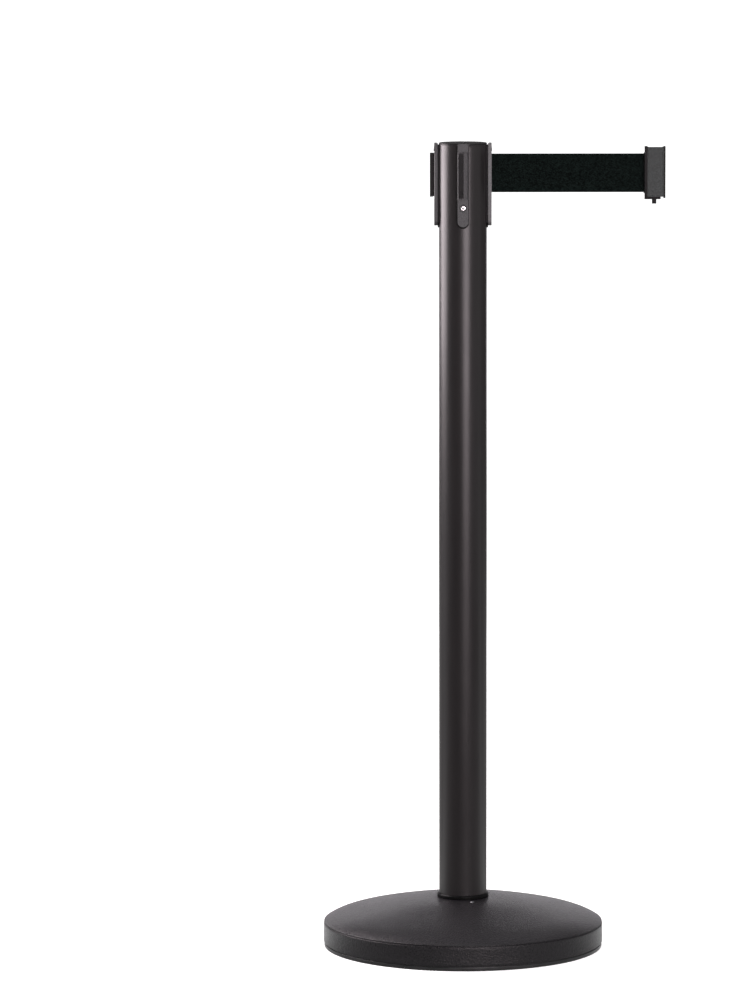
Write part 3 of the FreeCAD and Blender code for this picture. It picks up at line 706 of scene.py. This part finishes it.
def make_plate(name, angle, rail, slot):
    p = extrude(name, bar_outline(PLATE_W, PLATE_Z0, PLATE_Z1), PLATE_X0, PLATE_X1)
    tab = extrude("tab", rounded([(-TAB_W / 2, TAB_Z0), (TAB_W / 2, TAB_Z0), (TAB_W / 2, TAB_Z1), (-TAB_W / 2, TAB_Z1)], 0.6, 4),
                  PLATE_X0 + 1.0, TAB_X)
    for v in tab.data.vertices:
        if v.co.x > 36.5 * MM:
            v.co.x -= (v.co.z - TAB_Z0 * MM) * 0.11
    boolean(p, tab, "UNION")
    boolean(p, screw_cutter())
    if rail:
        boolean(p, box("cut", NECK_X0 + 0.02, PLATE_X1 + 1, -OFF - NECK_W / 2, -OFF + NECK_W / 2, RAIL_Z0 + 0.6, RAIL_Z1))
        # the shallow panel the rail stands in, between two narrow ridges
        boolean(p, box("cut", PLATE_X1 - 1.1, PLATE_X1 + 1, -PLATE_W / 2 + 1.25, PLATE_W / 2 - 1.25, RAIL_Z0 - 1.6, TAB_Z0 - 0.01))
        # the pocket over the rail's upper end, under the tab
        boolean(p, box("cut", PLATE_X0 + 1.0, PLATE_X1 + 1, -OFF - FLANGE_W / 2, -OFF + FLANGE_W / 2, RAIL_Z1 - 0.6, TAB_Z0 - 0.02))
    if slot:
        boolean(p, extrude("cut", rounded([(BELT_Y - 1.5, 956.5), (BELT_Y + 1.5, 956.5), (BELT_Y + 1.5, 1007.3), (BELT_Y - 1.5, 1007.3)], 0.9, 5),
                           PLATE_X0 - 1, PLATE_X1 + 1))
    bevel(p, 0.35, 3, 50)
    if rail:
        # the ridges are chamfered on their outer sides
        for s in (-1, 1):
            h = PLATE_W / 2
            tri = [(PLATE_X1 - 1.15, s * (h + 0.1)), (PLATE_X1 + 0.1, s * (h - 1.15)), (PLATE_X1 + 1, s * (h - 1.15)), (PLATE_X1 + 1, s * (h + 1)), (PLATE_X1 - 1.15, s * (h + 1))]
            boolean(p, extrude("cut", tri, RAIL_Z0 - 2.5, TAB_Z0 - 0.6, "Z"))
    shade(p, 38)
    turned(p, angle)
    return p


# the backing's black rim, left showing round the smaller plate, is painted shade at the plate's sides and foot
def make_backing(name, angle, slot):
    b = extrude(name, bar_outline(BACK_W, BACK_Z0, BACK_Z1, 0.4), TUBE_R - 3.0, PLATE_X0)
    boolean(b, lathe("cut", [(0, BACK_Z0 - 3), (TUBE_R + 0.03, BACK_Z0 - 3), (TUBE_R + 0.03, BACK_Z1 + 3), (0, BACK_Z1 + 3)], 240, closed=False))
    c = lathe("cut", [(0, 20), (2.3, 20), (2.3, 40), (0, 40)], 32, closed=False, axis="X")
    c.data.transform(Matrix.Translation((0, 0, SCREW_Z * MM)))
    boolean(b, c)
    if slot:
        boolean(b, box("cut", 20, 40, BELT_Y - 1.9, BELT_Y + 1.9, 956.1, 1007.7))
    shade(b, 38)
    turned(b, angle)
    return b


def make_rail(name, angle):
    y0, n, f = -OFF, NECK_W / 2, FLANGE_W / 2
    pts = [(NECK_X0, y0 - n), (FLANGE_X0, y0 - n), (FLANGE_X0, y0 - f), (FLANGE_X1, y0 - f), (FLANGE_X1, y0 + f),
           (FLANGE_X0, y0 + f), (FLANGE_X0, y0 + n), (NECK_X0, y0 + n)]
    r = extrude(name, pts, RAIL_Z0 + 0.6, RAIL_Z1, "Z")
    foot = box("foot", FLANGE_X0, FLANGE_X1, y0 - f, y0 + f, RAIL_Z0, RAIL_Z0 + 2)
    boolean(r, foot, "UNION")
    boolean(r, box("cut", FLANGE_X1 - 1.7, FLANGE_X1 + 1, y0 - 1.7, y0 + 1.7, RAIL_Z0 + 4.2, RAIL_Z0 + 9.2))
    bevel(r, 0.4, 3, 50)
    shade(r, 38)
    turned(r, angle)
    return r


FACES = {"front": 270, "left": 180, "back": 90}
for face, angle in FACES.items():
    finish_piece(make_plate("receiver_plate_" + face, angle, True, False), "post", "face_plastic", "receiver_" + face)
    finish_piece(make_rail("t_rail_" + face, angle), "post", "rail_black", "rail_" + face)
    finish_piece(make_backing("backing_pad_" + face, angle, False), "post", "black_plastic", "backing_" + face)
exit_plate = finish_piece(make_plate("belt_exit_plate", 0, False, True), "post", "face_plastic", "exit_plate")
exit_plate.data.materials[0] = MATS["exit_face"]     # the same plastic painted lighter: painted light standing for a lamp on the belt side
finish_piece(make_backing("backing_pad_exit", 0, True), "post", "black_plastic", "backing_exit")

# plate screws: raised countersunk heads with a hex socket
heads = []
for angle in (0, 90, 180, 270):
    s = lathe("s", [(0, 27.0), (1.5, 27.0), (1.95, 27.6), (1.95, 33.1), (SCREW_HEAD_R - 0.1, 34.8), (SCREW_HEAD_R, 34.9), (SCREW_HEAD_R - 0.05, 35.0),
                    (3.3, 35.25), (2.6, 35.45), (1.8, 35.55), (0, 35.6)], 56, closed=False, axis="X")
    hx = [(1.5 * math.cos(math.radians(60 * k)), 1.5 * math.sin(math.radians(60 * k))) for k in range(6)]
    boolean(s, extrude("cut", hx, 32.4, 37, "X"))
    s.data.transform(Matrix.Translation((0, 0, SCREW_Z * MM)))
    bevel(s, 0.08, 2, 50)
    turned(s, angle)
    heads.append(s)
screws = join("plate_screws_bright", *heads)
shade(screws, 35)
finish_piece(screws, "post", "chrome", "receiver_screws")
# the sockets' insides get a black material: painted shade in the hex recesses
screws.data.materials.append(MATS["rail_black"])
for poly in screws.data.polygons:
    c = poly.center / MM
    off = math.hypot(min(abs(c.x), abs(c.y)), c.z - SCREW_Z)
    if off < 1.46 and 32.0 < max(abs(c.x), abs(c.y)) < 35.52:
        poly.material_index = 1


# ---------------------------------------------------------------------------
# the belt: one strip with beaded selvages, from the coil round the guide roller to the belt end's pin
# ---------------------------------------------------------------------------
def tangent_geometry():
    gy = BELT_Y - BELT_T / 2 - 0.05 - GUIDE_R
    gr, cr = GUIDE_R + 0.05, COIL_R + 0.1
    d = math.hypot(GUIDE_X, gy)
    ta = math.atan2(gy, GUIDE_X) - math.acos((cr + gr + BELT_T) / d)
    return gy, gr, cr, ta


def section(z0, z1, half, bead, bead_w=1.1, across=30):
    """(offset from the mid plane, z) round the strip, with rounded, slightly thicker selvages."""
    zs = list(np.linspace(z0 + bead_w, z1 - bead_w, across))
    side = []
    for k in range(7):
        a = math.pi / 2 * k / 6
        side.append((bead * math.sin(a) * 1.0, z0 + 0.45 * (1 - math.cos(a))))
    side = [(bead * math.sin(math.pi / 2 * k / 5), z0 + 0.4 * (1 - math.cos(math.pi / 2 * k / 5))) for k in range(6)]
    side += [(bead, z0 + 0.75), (half + (bead - half) * 0.3, z0 + 1.0)]
    front = side + [(half, z) for z in zs] + [(o, z0 + z1 - z) for o, z in reversed(side)]
    back = [(-o, z) for o, z in reversed(front[1:-1])]
    return front + back


def sweep(name, path, normals, sec, closed_ends=True):
    verts, n = [], len(sec)
    for p, q in zip(path, normals):
        for o, z in sec:
            verts.append((p[0] + q[0] * o, p[1] + q[1] * o, z))
    faces = []
    for k in range(len(path) - 1):
        for i in range(n):
            j = (i + 1) % n
            faces.append([k * n + i, k * n + j, (k + 1) * n + j, (k + 1) * n + i])
    if closed_ends:
        faces.append(list(range(n)))
        faces.append([(len(path) - 1) * n + i for i in range(n)])
    return tidy(new_mesh(name, verts, faces))


def flat_path(points):
    """Unit normals, to the left of travel, of a path in the XY plane."""
    P = np.array(points, float)
    d = np.gradient(P, axis=0)
    d /= np.linalg.norm(d, axis=1)[:, None]
    return [(-b, a) for a, b in d]


gy, gr, cr, ta = tangent_geometry()
nx, ny = math.cos(ta), math.sin(ta)
half_t = BELT_T / 2
start = np.array([nx, ny]) * (cr + half_t)
touch = np.array([GUIDE_X, gy]) - np.array([nx, ny]) * (gr + half_t)
path = [tuple(start + (touch - start) * s) for s in np.linspace(0, 1, 9)]
a0, a1 = math.atan2(-ny, -nx), math.pi / 2
path += [(GUIDE_X + (gr + half_t) * math.cos(a), gy + (gr + half_t) * math.sin(a)) for a in np.linspace(a0, a1, 9)[1:]]
path += [(x, BELT_Y) for x in np.linspace(GUIDE_X + 3, CLIP_X0, 86)]
path += [(x, BELT_Y) for x in (228.2, 229.0, 229.6)]
belt = sweep("belt_webbing", path, flat_path(path), section(BELT_Z0, BELT_Z1, half_t, 0.29))

# the end is looped round its pin, folded back behind the belt, and sewn down in one cross row
hem_x0 = 219.2
loop = [(x, BELT_Y + 0.56) for x in np.linspace(hem_x0, CLIP_X0 - 0.2, 16)]
r_loop = PIN_R + 0.05 + half_t
ccx, ccy = PIN_X, BELT_Y
loop += [(228.2, BELT_Y + 0.6), (228.9, BELT_Y + 0.78)]
arc = [(ccx + r_loop * math.cos(a), ccy + r_loop * math.sin(a)) for a in np.linspace(math.radians(128), math.radians(-166), 26)]
loop += arc
hem = sweep("hem", loop, flat_path(loop), section(BELT_Z0 + 0.15, BELT_Z1 - 0.15, half_t - 0.02, half_t + 0.03))


def stitch(x, z, length, y, r=0.24):
    """One short thread, sunk at both ends, lying up the belt."""
    rings, seg, verts, faces = 9, 8, [], []
    for k in range(rings):
        t = k / (rings - 1)
        zz = z + (t - 0.5) * length
        lift = math.sin(math.pi * t)
        rr = r * (0.55 + 0.45 * lift)
        yy = y[0] + (y[1] - y[0]) * lift ** 0.6
        for s in range(seg):
            a = 2 * math.pi * s / seg
            verts.append((x + rr * math.cos(a), yy + rr * math.sin(a), zz))
    for k in range(rings - 1):
        for s in range(seg):
            q = (s + 1) % seg
            faces.append([k * seg + s, k * seg + q, (k + 1) * seg + q, (k + 1) * seg + s])
    faces.append(list(range(seg)))
    faces.append([(rings - 1) * seg + s for s in range(seg)])
    return new_mesh("st", verts, faces)


threads = []
for x in (220.9, 225.0):
    for z in np.arange(BELT_Z0 + 2.4, BELT_Z1 - 1.6, 3.1):
        threads.append(stitch(x, z, 2.5, (BELT_Y - half_t + 0.1, BELT_Y - half_t - 0.06)))
        threads.append(stitch(x, z, 2.5, (BELT_Y + 0.56 + half_t - 0.1, BELT_Y + 0.56 + half_t + 0.06)))
belt = join("belt_webbing", belt, hem, *[tidy(t) for t in threads])
shade(belt, 60, weighted=False)
finish_piece(belt, None, "webbing", "belt", ride=False)
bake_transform(belt)

# the wound part of the belt: a true spiral, ending where the straight run leaves it
pitch = 0.5
turns = (COIL_R - HUB_R - 0.25) / pitch
steps = int(turns * 60)
coil = []
for k in range(steps + 1):
    t = k / steps
    rr = HUB_R + 0.27 + (COIL_R - 0.25 - HUB_R - 0.27) * t
    a = ta - (1 - t) * turns * 2 * math.pi
    coil.append((rr * math.cos(a), rr * math.sin(a)))
wound = sweep("belt_coil_wound", coil, flat_path(coil),
              [(-0.22, BELT_Z0 + 0.1), (0.22, BELT_Z0 + 0.1), (0.22, BELT_Z1 - 0.1), (-0.22, BELT_Z1 - 0.1)])
shade(wound, 40, weighted=False)
finish_piece(wound, "spool", "webbing", "belt_coil")


# ---------------------------------------------------------------------------
# the belt end
# ---------------------------------------------------------------------------
cy, hd = BELT_Y, CLIP_D / 2
core = box("belt_end_core", CLIP_X0, CLIP_X1, cy - hd, cy + hd, CLIP_Z0, CLIP_Z1 - 1.2)
boolean(core, box("u", CLIP_X0, SHELL_X0, cy - hd, cy + hd, CLIP_Z0 - 0.01, CLIP_Z1), "UNION")
boolean(core, box("u", SHELL_X1, CLIP_X1, cy - hd, cy + hd, CLIP_Z0 - 2.5, CLIP_Z1), "UNION")
for s in (-1, 1):
    ya, yb = sorted((cy + s * (hd - SHELL_T - 0.05), cy + s * (hd + 1)))
    boolean(core, box("cut", SHELL_X0 - 0.05, SHELL_X1 + 0.05, ya, yb, CLIP_Z0 - 5, CLIP_Z1 + 1))
boolean(core, box("cut", SOCKET_X0, SOCKET_X1, cy - SOCKET_W / 2, cy + SOCKET_W / 2, CLIP_Z0 - 5, SOCKET_Z1))
boolean(core, box("cut", SOCKET_X1 - 0.5, CLIP_X1 + 1, cy - MOUTH_W / 2, cy + MOUTH_W / 2, CLIP_Z0 - 5, SOCKET_Z1))
boolean(core, box("cut", CLIP_X0 - 1, PIN_X, cy - 1.25, cy + 1.25, BELT_Z0 - 0.5, BELT_Z1 + 0.5))
pinhole = lathe("cut", [(0, BELT_Z0 - 0.5), (2.0, BELT_Z0 - 0.5), (2.0, BELT_Z1 + 0.5), (0, BELT_Z1 + 0.5)], 40, closed=False)
pinhole.data.transform(Matrix.Translation((PIN_X * MM, cy * MM, 0)))
boolean(core, pinhole)
boolean(core, box("cut", 235.5, 243.3, cy - 1.5, cy + 1.5, CLIP_Z0 - 1, 971.0))
boolean(core, box("cut", PLUNGER_X0 - 0.3, PLUNGER_X1 + 0.3, cy - 2.7, cy + 2.7, CLIP_Z0 - 1, CLIP_Z0 + 2.4))
boolean(core, box("cut", 236.4, SOCKET_X0 + 0.1, cy - 3.2, cy + 3.2, 959.2, 964.8))
bore = lathe("cut", [(0, 967.9), (2.7, 967.9), (2.7, 983.0), (0, 983.0)], 40, closed=False)
bore.data.transform(Matrix.Translation((0.2395, cy * MM, 0)))
boolean(core, bore)
bevel(core, 0.35, 3, 50)
# lips that guide the belt in, with a small sweep up to the body
lip = []
for s in (-1, 1):
    y_in, y_out = cy + s * 0.75, cy + s * 2.6
    pts = [(CLIP_X0 + 0.3, y_in), (226.3, y_in + s * 0.1), (226.3, y_in + s * 0.45), (226.6, y_in + s * 0.8), (227.1, y_out - s * 0.4), (CLIP_X0 + 0.3, y_out)]
    lip.append(tidy(extrude("lip", pts, BELT_Z0 - 1.2, BELT_Z1 + 1.2, "Z")))
core = join("belt_end_core", core, *lip)
shade(core, 38)
finish_piece(core, "belt_end", "black_plastic", "clip_core")

for side, s in (("front", -1), ("back", 1)):
    y_face, y_in = cy + s * hd, cy + s * (hd - SHELL_T)
    x0, x1, z0, z1 = SHELL_X0, SHELL_X1, CLIP_Z0 - 0.9, CLIP_Z1 - 0.9
    ya, yb = sorted((y_in, y_face))
    # the top edge dips a little between its corners
    top = [(x1 - 0.0, z1), (x1 - 1.3, z1), (x1 - 2.6, z1 - 0.75), (x1 - 4.5, z1 - 0.95), ((x0 + x1) / 2, z1 - 1.0),
           (x0 + 4.5, z1 - 0.95), (x0 + 2.6, z1 - 0.75), (x0 + 1.3, z1), (x0, z1)]
    sh = extrude("belt_end_shell_" + side, [(x0, z0), (x1, z0)] + top, ya, yb, "Y")
    # a shallow panel inside a raised border
    panel = rounded([(x0 + 1.5, z0 + 1.4), (x1 - 1.5, z0 + 1.4), (x1 - 1.5, z1 - 2.6), (x0 + 1.5, z1 - 2.6)], 1.0, 5)
    ca, cb = sorted((y_face - s * 0.4, y_face + s * 1))
    boolean(sh, extrude("cut", panel, ca, cb, "Y"))
    bevel(sh, 0.32, 3, 50)
    shade(sh, 38)
    finish_piece(sh, "belt_end", "clip_grey", "clip_shell_" + side)

plate = box("belt_end_foot_plate", CLIP_X0, SOCKET_X0 - 0.1, cy - hd + 1.9, cy + hd - 1.9, CLIP_Z0 - 4.0, CLIP_Z0 - 0.05)
boolean(plate, box("cut", PLUNGER_X0 - 0.25, PLUNGER_X1 + 0.25, cy - 2.65, cy + 2.65, CLIP_Z0 - 6, CLIP_Z0 + 1))
for sx in (230.2, 244.6):
    for sy in (-3.6, 3.6):
        hole = lathe("cut", [(0, CLIP_Z0 - 6), (1.45, CLIP_Z0 - 6), (1.45, CLIP_Z0 - 2.6), (1.1, CLIP_Z0 - 2.6), (1.1, CLIP_Z0 + 1), (0, CLIP_Z0 + 1)], 32, closed=False)
        hole.data.transform(Matrix.Translation((sx * MM, (cy + sy) * MM, 0)))
        boolean(plate, hole)
bevel(plate, 0.3, 3, 50)
shade(plate, 38)
finish_piece(plate, "belt_end", "black_plastic", "clip_bottom_plate")

small = []
for sx in (230.2, 244.6):
    for sy in (-3.6, 3.6):
        q = CLIP_Z0 - 3.9
        s = lathe("s", [(0, q), (1.1, q), (1.32, q + 0.2), (1.35, q + 1.15), (0.95, q + 1.2), (0.95, CLIP_Z0 + 4.4), (0.5, CLIP_Z0 + 5.0), (0, CLIP_Z0 + 5.0)], 32, closed=False)
        for w, l in ((0.32, 1.7), (1.7, 0.32)):
            boolean(s, box("cut", -w / 2, w / 2, -l / 2, l / 2, q - 1, q + 0.7))
        s.data.transform(Matrix.Translation((sx * MM, (cy + sy) * MM, 0)))
        small.append(s)
small = join("belt_end_screws", *small)
shade(small, 35)
finish_piece(small, "belt_end", "dark_steel", "clip_screws")

# release plunger with its slanted cam slot
pl = box("release_plunger_stem", 235.8, 243.0, cy - 1.2, cy + 1.2, CLIP_Z0, 968.0)
boolean(pl, box("u", PLUNGER_X0, PLUNGER_X1, cy - 2.4, cy + 2.4, PLUNGER_Z0, CLIP_Z0 - 0.1), "UNION")
boolean(pl, box("u", PLUNGER_X0 + 0.01, PLUNGER_X1 - 0.01, cy - 1.19, cy + 1.19, CLIP_Z0 - 0.5, CLIP_Z0 + 1), "UNION")
spig = lathe("u", [(0, 967.5), (1.2, 967.5), (1.2, 970.2), (0.8, 970.6), (0, 970.6)], 32, closed=False)
spig.data.transform(Matrix.Translation((0.2395, cy * MM, 0)))
boolean(pl, spig, "UNION")
PX, PZ, TR = 240.4, 962.0, 2.0
cam = []
for k in range(25):
    a = math.radians(-45 + 180 * k / 24)
    cam.append((PX + 1.05 * math.cos(a), PZ + 1.05 * math.sin(a)))
for k in range(25):
    a = math.radians(135 + 180 * k / 24)
    cam.append((PX - TR + 1.05 * math.cos(a), PZ - TR + 1.05 * math.sin(a)))
boolean(pl, extrude("cut", cam, cy - 3, cy + 3, "Y"))
bevel(pl, 0.3, 3, 55)
shade(pl, 38)
finish_piece(pl, "plunger", "black_plastic", "release_plunger")

# its return spring: round wire, the end turns closed up, standing on the plunger's shoulder
SPR_Z0, SPR_Z1, SPR_R, WIRE_R = 968.62, 981.75, 1.9, 0.22


def helix_height(t):
    """The height along the spring, 0 to 1, with nearly flat first and last turns."""
    e = 0.125
    rise = 0.45 / (SPR_Z1 - SPR_Z0)
    if t < e:
        return rise * t / e
    if t > 1 - e:
        return 1 - rise * (1 - t) / e
    return rise + (1 - 2 * rise) * (t - e) / (1 - 2 * e)


steps, seg, coils, verts, faces = 336, 10, 7.5, [], []
for k in range(steps + 1):
    t = k / steps
    a = 2 * math.pi * coils * t
    z = SPR_Z0 + (SPR_Z1 - SPR_Z0) * helix_height(t)
    for i in range(seg):
        b = 2 * math.pi * i / seg
        rr = SPR_R + WIRE_R * math.cos(b)
        verts.append((239.5 + rr * math.cos(a), cy + rr * math.sin(a), z + WIRE_R * math.sin(b)))
for k in range(steps):
    for i in range(seg):
        j = (i + 1) % seg
        faces.append([k * seg + i, k * seg + j, (k + 1) * seg + j, (k + 1) * seg + i])
faces.append(list(range(seg)))
faces.append([steps * seg + i for i in range(seg)])
spring = tidy(new_mesh("plunger_spring_wire", verts, faces))
shade(spring, 60, weighted=False)
finish_piece(spring, "belt_end", "spring_steel", "plunger_spring")
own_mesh(spring)


# ---------------------------------------------------------------------------
# floor, light and camera
# ---------------------------------------------------------------------------
def stage_plane(name, corners, mat, camera=True, diffuse=True, shadow=True, glossy=True):
    me = bpy.data.meshes.new(name)
    me.from_pydata(corners, [], [list(range(len(corners)))])
    ob = bpy.data.objects.new(name, me)
    SCENE.collection.objects.link(ob)
    me.materials.append(mat)
    ob.visible_camera = camera
    ob.visible_diffuse = diffuse
    ob.visible_shadow = shadow
    ob.visible_glossy = glossy
    return ob


floor_m = Mat("studio_floor", (0.86, 0.86, 0.86), 0.7, spec=0.0)
floor_m.set_rough(floor_m.noise(3, 2), 0.66, 0.76)
floor_m.b.inputs["Emission Color"].default_value = (1, 1, 1, 1)
floor_m.b.inputs["Emission Strength"].default_value = 0.35
S = 400.0
stage_plane("studio_floor_sheet", [(-S, -S, 0), (S, -S, 0), (S, S, 0), (-S, S, 0)], floor_m.m, diffuse=False, glossy=False)


def glow(name, strength, color=(1, 1, 1)):
    m = bpy.data.materials.new(name)
    m.use_nodes = True
    nt = m.node_tree
    nt.nodes.clear()
    o = nt.nodes.new("ShaderNodeOutputMaterial")
    e = nt.nodes.new("ShaderNodeEmission")
    e.inputs["Color"].default_value = (*color, 1)
    e.inputs["Strength"].default_value = strength
    nt.links.new(e.outputs[0], o.inputs[0])
    return m


def wall_glow():
    """Studio walls: dim, with two brighter reflectors, one at each side."""
    m = glow("wall_grey", 1.0)
    nt = m.node_tree
    em = [n for n in nt.nodes if n.type == "EMISSION"][0]
    tc = nt.nodes.new("ShaderNodeTexCoord")
    sep = nt.nodes.new("ShaderNodeSeparateXYZ")
    neg = nt.nodes.new("ShaderNodeMath")
    neg.operation = "MULTIPLY"
    neg.inputs[1].default_value = -1.0
    ang = nt.nodes.new("ShaderNodeMath")
    ang.operation = "ARCTAN2"
    sc = nt.nodes.new("ShaderNodeMath")
    sc.operation = "MULTIPLY_ADD"
    sc.inputs[1].default_value, sc.inputs[2].default_value = 1 / (2 * math.pi), 0.5
    rp = nt.nodes.new("ShaderNodeValToRGB")
    stops = [(0.0, 0.10), (0.14, 0.10), (0.17, 0.35), (0.31, 0.35), (0.35, 0.12), (0.58, 0.12), (0.62, 0.42), (0.75, 0.42), (0.79, 0.10), (1.0, 0.10)]
    for i, (p, v) in enumerate(stops):
        e = rp.color_ramp.elements[i] if i < 2 else rp.color_ramp.elements.new(p)
        e.position = p
        e.color = (v, v, v, 1)
    nt.links.new(tc.outputs["Object"], sep.inputs[0])
    nt.links.new(sep.outputs["Y"], neg.inputs[0])
    nt.links.new(sep.outputs["X"], ang.inputs[0])
    nt.links.new(neg.outputs[0], ang.inputs[1])
    nt.links.new(ang.outputs[0], sc.inputs[0])
    nt.links.new(sc.outputs[0], rp.inputs["Fac"])
    nt.links.new(rp.outputs["Color"], em.inputs["Color"])
    return m


def floor_glow():
    """What the floor shows in reflections: brighter behind the object than before it."""
    m = glow("floor_reflection", 1.0)
    nt = m.node_tree
    em = [n for n in nt.nodes if n.type == "EMISSION"][0]
    tc = nt.nodes.new("ShaderNodeTexCoord")
    sep = nt.nodes.new("ShaderNodeSeparateXYZ")
    mr = nt.nodes.new("ShaderNodeMapRange")
    mr.inputs["From Min"].default_value, mr.inputs["From Max"].default_value = -0.9, 0.9
    rp = nt.nodes.new("ShaderNodeValToRGB")
    stops = [(0.0, 0.02), (0.444, 0.45), (0.478, 0.70), (0.522, 1.15), (0.583, 1.3), (0.694, 0.6), (0.833, 0.45)]
    for i, (p, v) in enumerate(stops):
        e = rp.color_ramp.elements[i] if i < 2 else rp.color_ramp.elements.new(p)
        e.position = p
        e.color = (min(v / 1.3, 1.0),) * 3 + (1,)
    em.inputs["Strength"].default_value = 1.3
    nt.links.new(tc.outputs["Object"], sep.inputs[0])
    nt.links.new(sep.outputs["Y"], mr.inputs["Value"])
    nt.links.new(mr.outputs[0], rp.inputs["Fac"])
    nt.links.new(rp.outputs["Color"], em.inputs["Color"])
    return m


def surround():
    """Dark studio walls round the object, seen only in its reflections."""
    n, r, h = 96, 3.6, 3.4
    verts = [(r * math.cos(2 * math.pi * i / n), r * math.sin(2 * math.pi * i / n), z) for z in (0.001, h) for i in range(n)]
    faces = [[i, (i + 1) % n, n + (i + 1) % n, n + i] for i in range(n)]
    me = bpy.data.meshes.new("studio_walls")
    me.from_pydata(verts, [], faces)
    ob = bpy.data.objects.new("studio_walls", me)
    SCENE.collection.objects.link(ob)
    me.materials.append(wall_glow())
    ob.visible_camera = False
    ob.visible_diffuse = False
    ob.visible_shadow = False
    ob.visible_transmission = False


surround()
fl = stage_plane("floor_reflection_sheet", [(-3.5, -3.5, -0.0005), (3.5, -3.5, -0.0005), (3.5, 3.5, -0.0005), (-3.5, 3.5, -0.0005)],
                 floor_glow(), camera=False, diffuse=False, shadow=False)
fl.visible_transmission = False


def panel(name, centre, towards, size, strength, color=(1, 1, 1)):
    """A soft box: an area light aimed at a point, not seen by the camera."""
    L = bpy.data.lights.new(name, "AREA")
    L.shape = "RECTANGLE"
    L.size, L.size_y = size
    L.energy = strength
    L.color = color
    ob = bpy.data.objects.new(name, L)
    SCENE.collection.objects.link(ob)
    ob.location = centre
    d = Vector(towards) - Vector(centre)
    ob.rotation_mode = "QUATERNION"
    ob.rotation_quaternion = d.to_track_quat("-Z", "Y")
    ob.visible_camera = False
    return ob


panel("softbox_left", (-1.256, 0.337, 1.08), (0, 0, 0.95), (0.98, 0.84), 29, (1.0, 0.89, 0.925))
panel("softbox_front", (0.66, -2.31, 1.05), (0, 0, 0.9), (1.1, 1.2), 43, (1.0, 0.88, 0.92))
panel("softbox_back", (-0.06, 3.0, 0.55), (0, 0, 0.2), (3.0, 0.54), 9.2, (1.0, 0.955, 1.0))
panel("softbox_back_high", (0.0, 2.2, 3.5), (0, 0, 0.1), (5.6, 3.4), 21.0, (1.0, 0.955, 1.0))
panel("softbox_back_left", (-1.2, 2.8, 2.05), (0, 0, 0.1), (0.9, 1.3), 1.5, (1.0, 0.955, 1.0))
panel("softbox_back_right", (1.2, 2.8, 2.05), (0, 0, 0.1), (0.9, 1.3), 1.7, (1.0, 0.955, 1.0))
panel("softbox_top", (0.0, -0.5, 3.2), (0, 0, 0), (1.8, 1.8), 12)

world = bpy.data.worlds.new("studio_world")
SCENE.world = world
world.use_nodes = True
bg = world.node_tree.nodes["Background"]
wt = world.node_tree
w_tc = wt.nodes.new("ShaderNodeTexCoord")
w_sep = wt.nodes.new("ShaderNodeSeparateXYZ")
w_ramp = wt.nodes.new("ShaderNodeValToRGB")
w_ramp.color_ramp.elements[0].position, w_ramp.color_ramp.elements[0].color = 0.4700, (0.25, 0.25, 0.25, 1)
w_ramp.color_ramp.elements[1].position, w_ramp.color_ramp.elements[1].color = 0.4780, (1, 1, 1, 1)
w_map = wt.nodes.new("ShaderNodeMath")
w_map.operation = "MULTIPLY_ADD"
w_map.inputs[1].default_value, w_map.inputs[2].default_value = 0.5, 0.5
wt.links.new(w_tc.outputs["Generated"], w_sep.inputs[0])
wt.links.new(w_sep.outputs["Z"], w_map.inputs[0])
wt.links.new(w_map.outputs[0], w_ramp.inputs["Fac"])
wt.links.new(w_ramp.outputs["Color"], bg.inputs["Color"])
bg.inputs["Strength"].default_value = 1.0
world.cycles_visibility.glossy = False

F_PX, DIST, HC, PITCH = 5560.0, 6.970, 1.357, math.radians(6.447)
X_PX = 462.9
yaw = math.atan2(X_PX - 370.0, F_PX) 
roll = 0.0
cam_data = bpy.data.cameras.new("studio_camera")
cam_data.sensor_fit = "AUTO"
cam_data.sensor_width = 36.0
cam_data.lens = F_PX / 1000.0 * 36.0
cam_data.clip_start, cam_data.clip_end = 0.1, 1000.0
cam_ob = bpy.data.objects.new("studio_camera", cam_data)
SCENE.collection.objects.link(cam_ob)
SCENE.camera = cam_ob


def aim(yaw, roll):
    return Matrix.Rotation(yaw, 4, "Z") @ Matrix.Rotation(math.pi / 2 - PITCH, 4, "X") @ Matrix.Rotation(roll, 4, "Z")


def to_px(p, m):
    q = m.inverted() @ Vector(p)
    return 370.0 + F_PX * q.x / -q.z, 500.0 - F_PX * q.y / -q.z


# turned so that the post's axis stands upright at its place in the frame
for _ in range(12):
    m = Matrix.Translation((0, -DIST, HC)) @ aim(yaw, roll)
    a, b = to_px((0, 0, 1.0), m), to_px((0, 0, 0.08), m)
    yaw += (X_PX - (a[0] + b[0]) / 2) / F_PX
    roll -= (a[0] - b[0]) / (b[1] - a[1])
cam_ob.matrix_world = Matrix.Translation((0, -DIST, HC)) @ aim(yaw, roll)
print("CAMERA", math.degrees(yaw), math.degrees(roll), to_px((0, 0, 1.0), cam_ob.matrix_world), to_px((0, 0, 0.08), cam_ob.matrix_world))

SCENE.view_settings.view_transform = "Standard"
SCENE.view_settings.look = "None"
SCENE.view_settings.exposure = 0.0
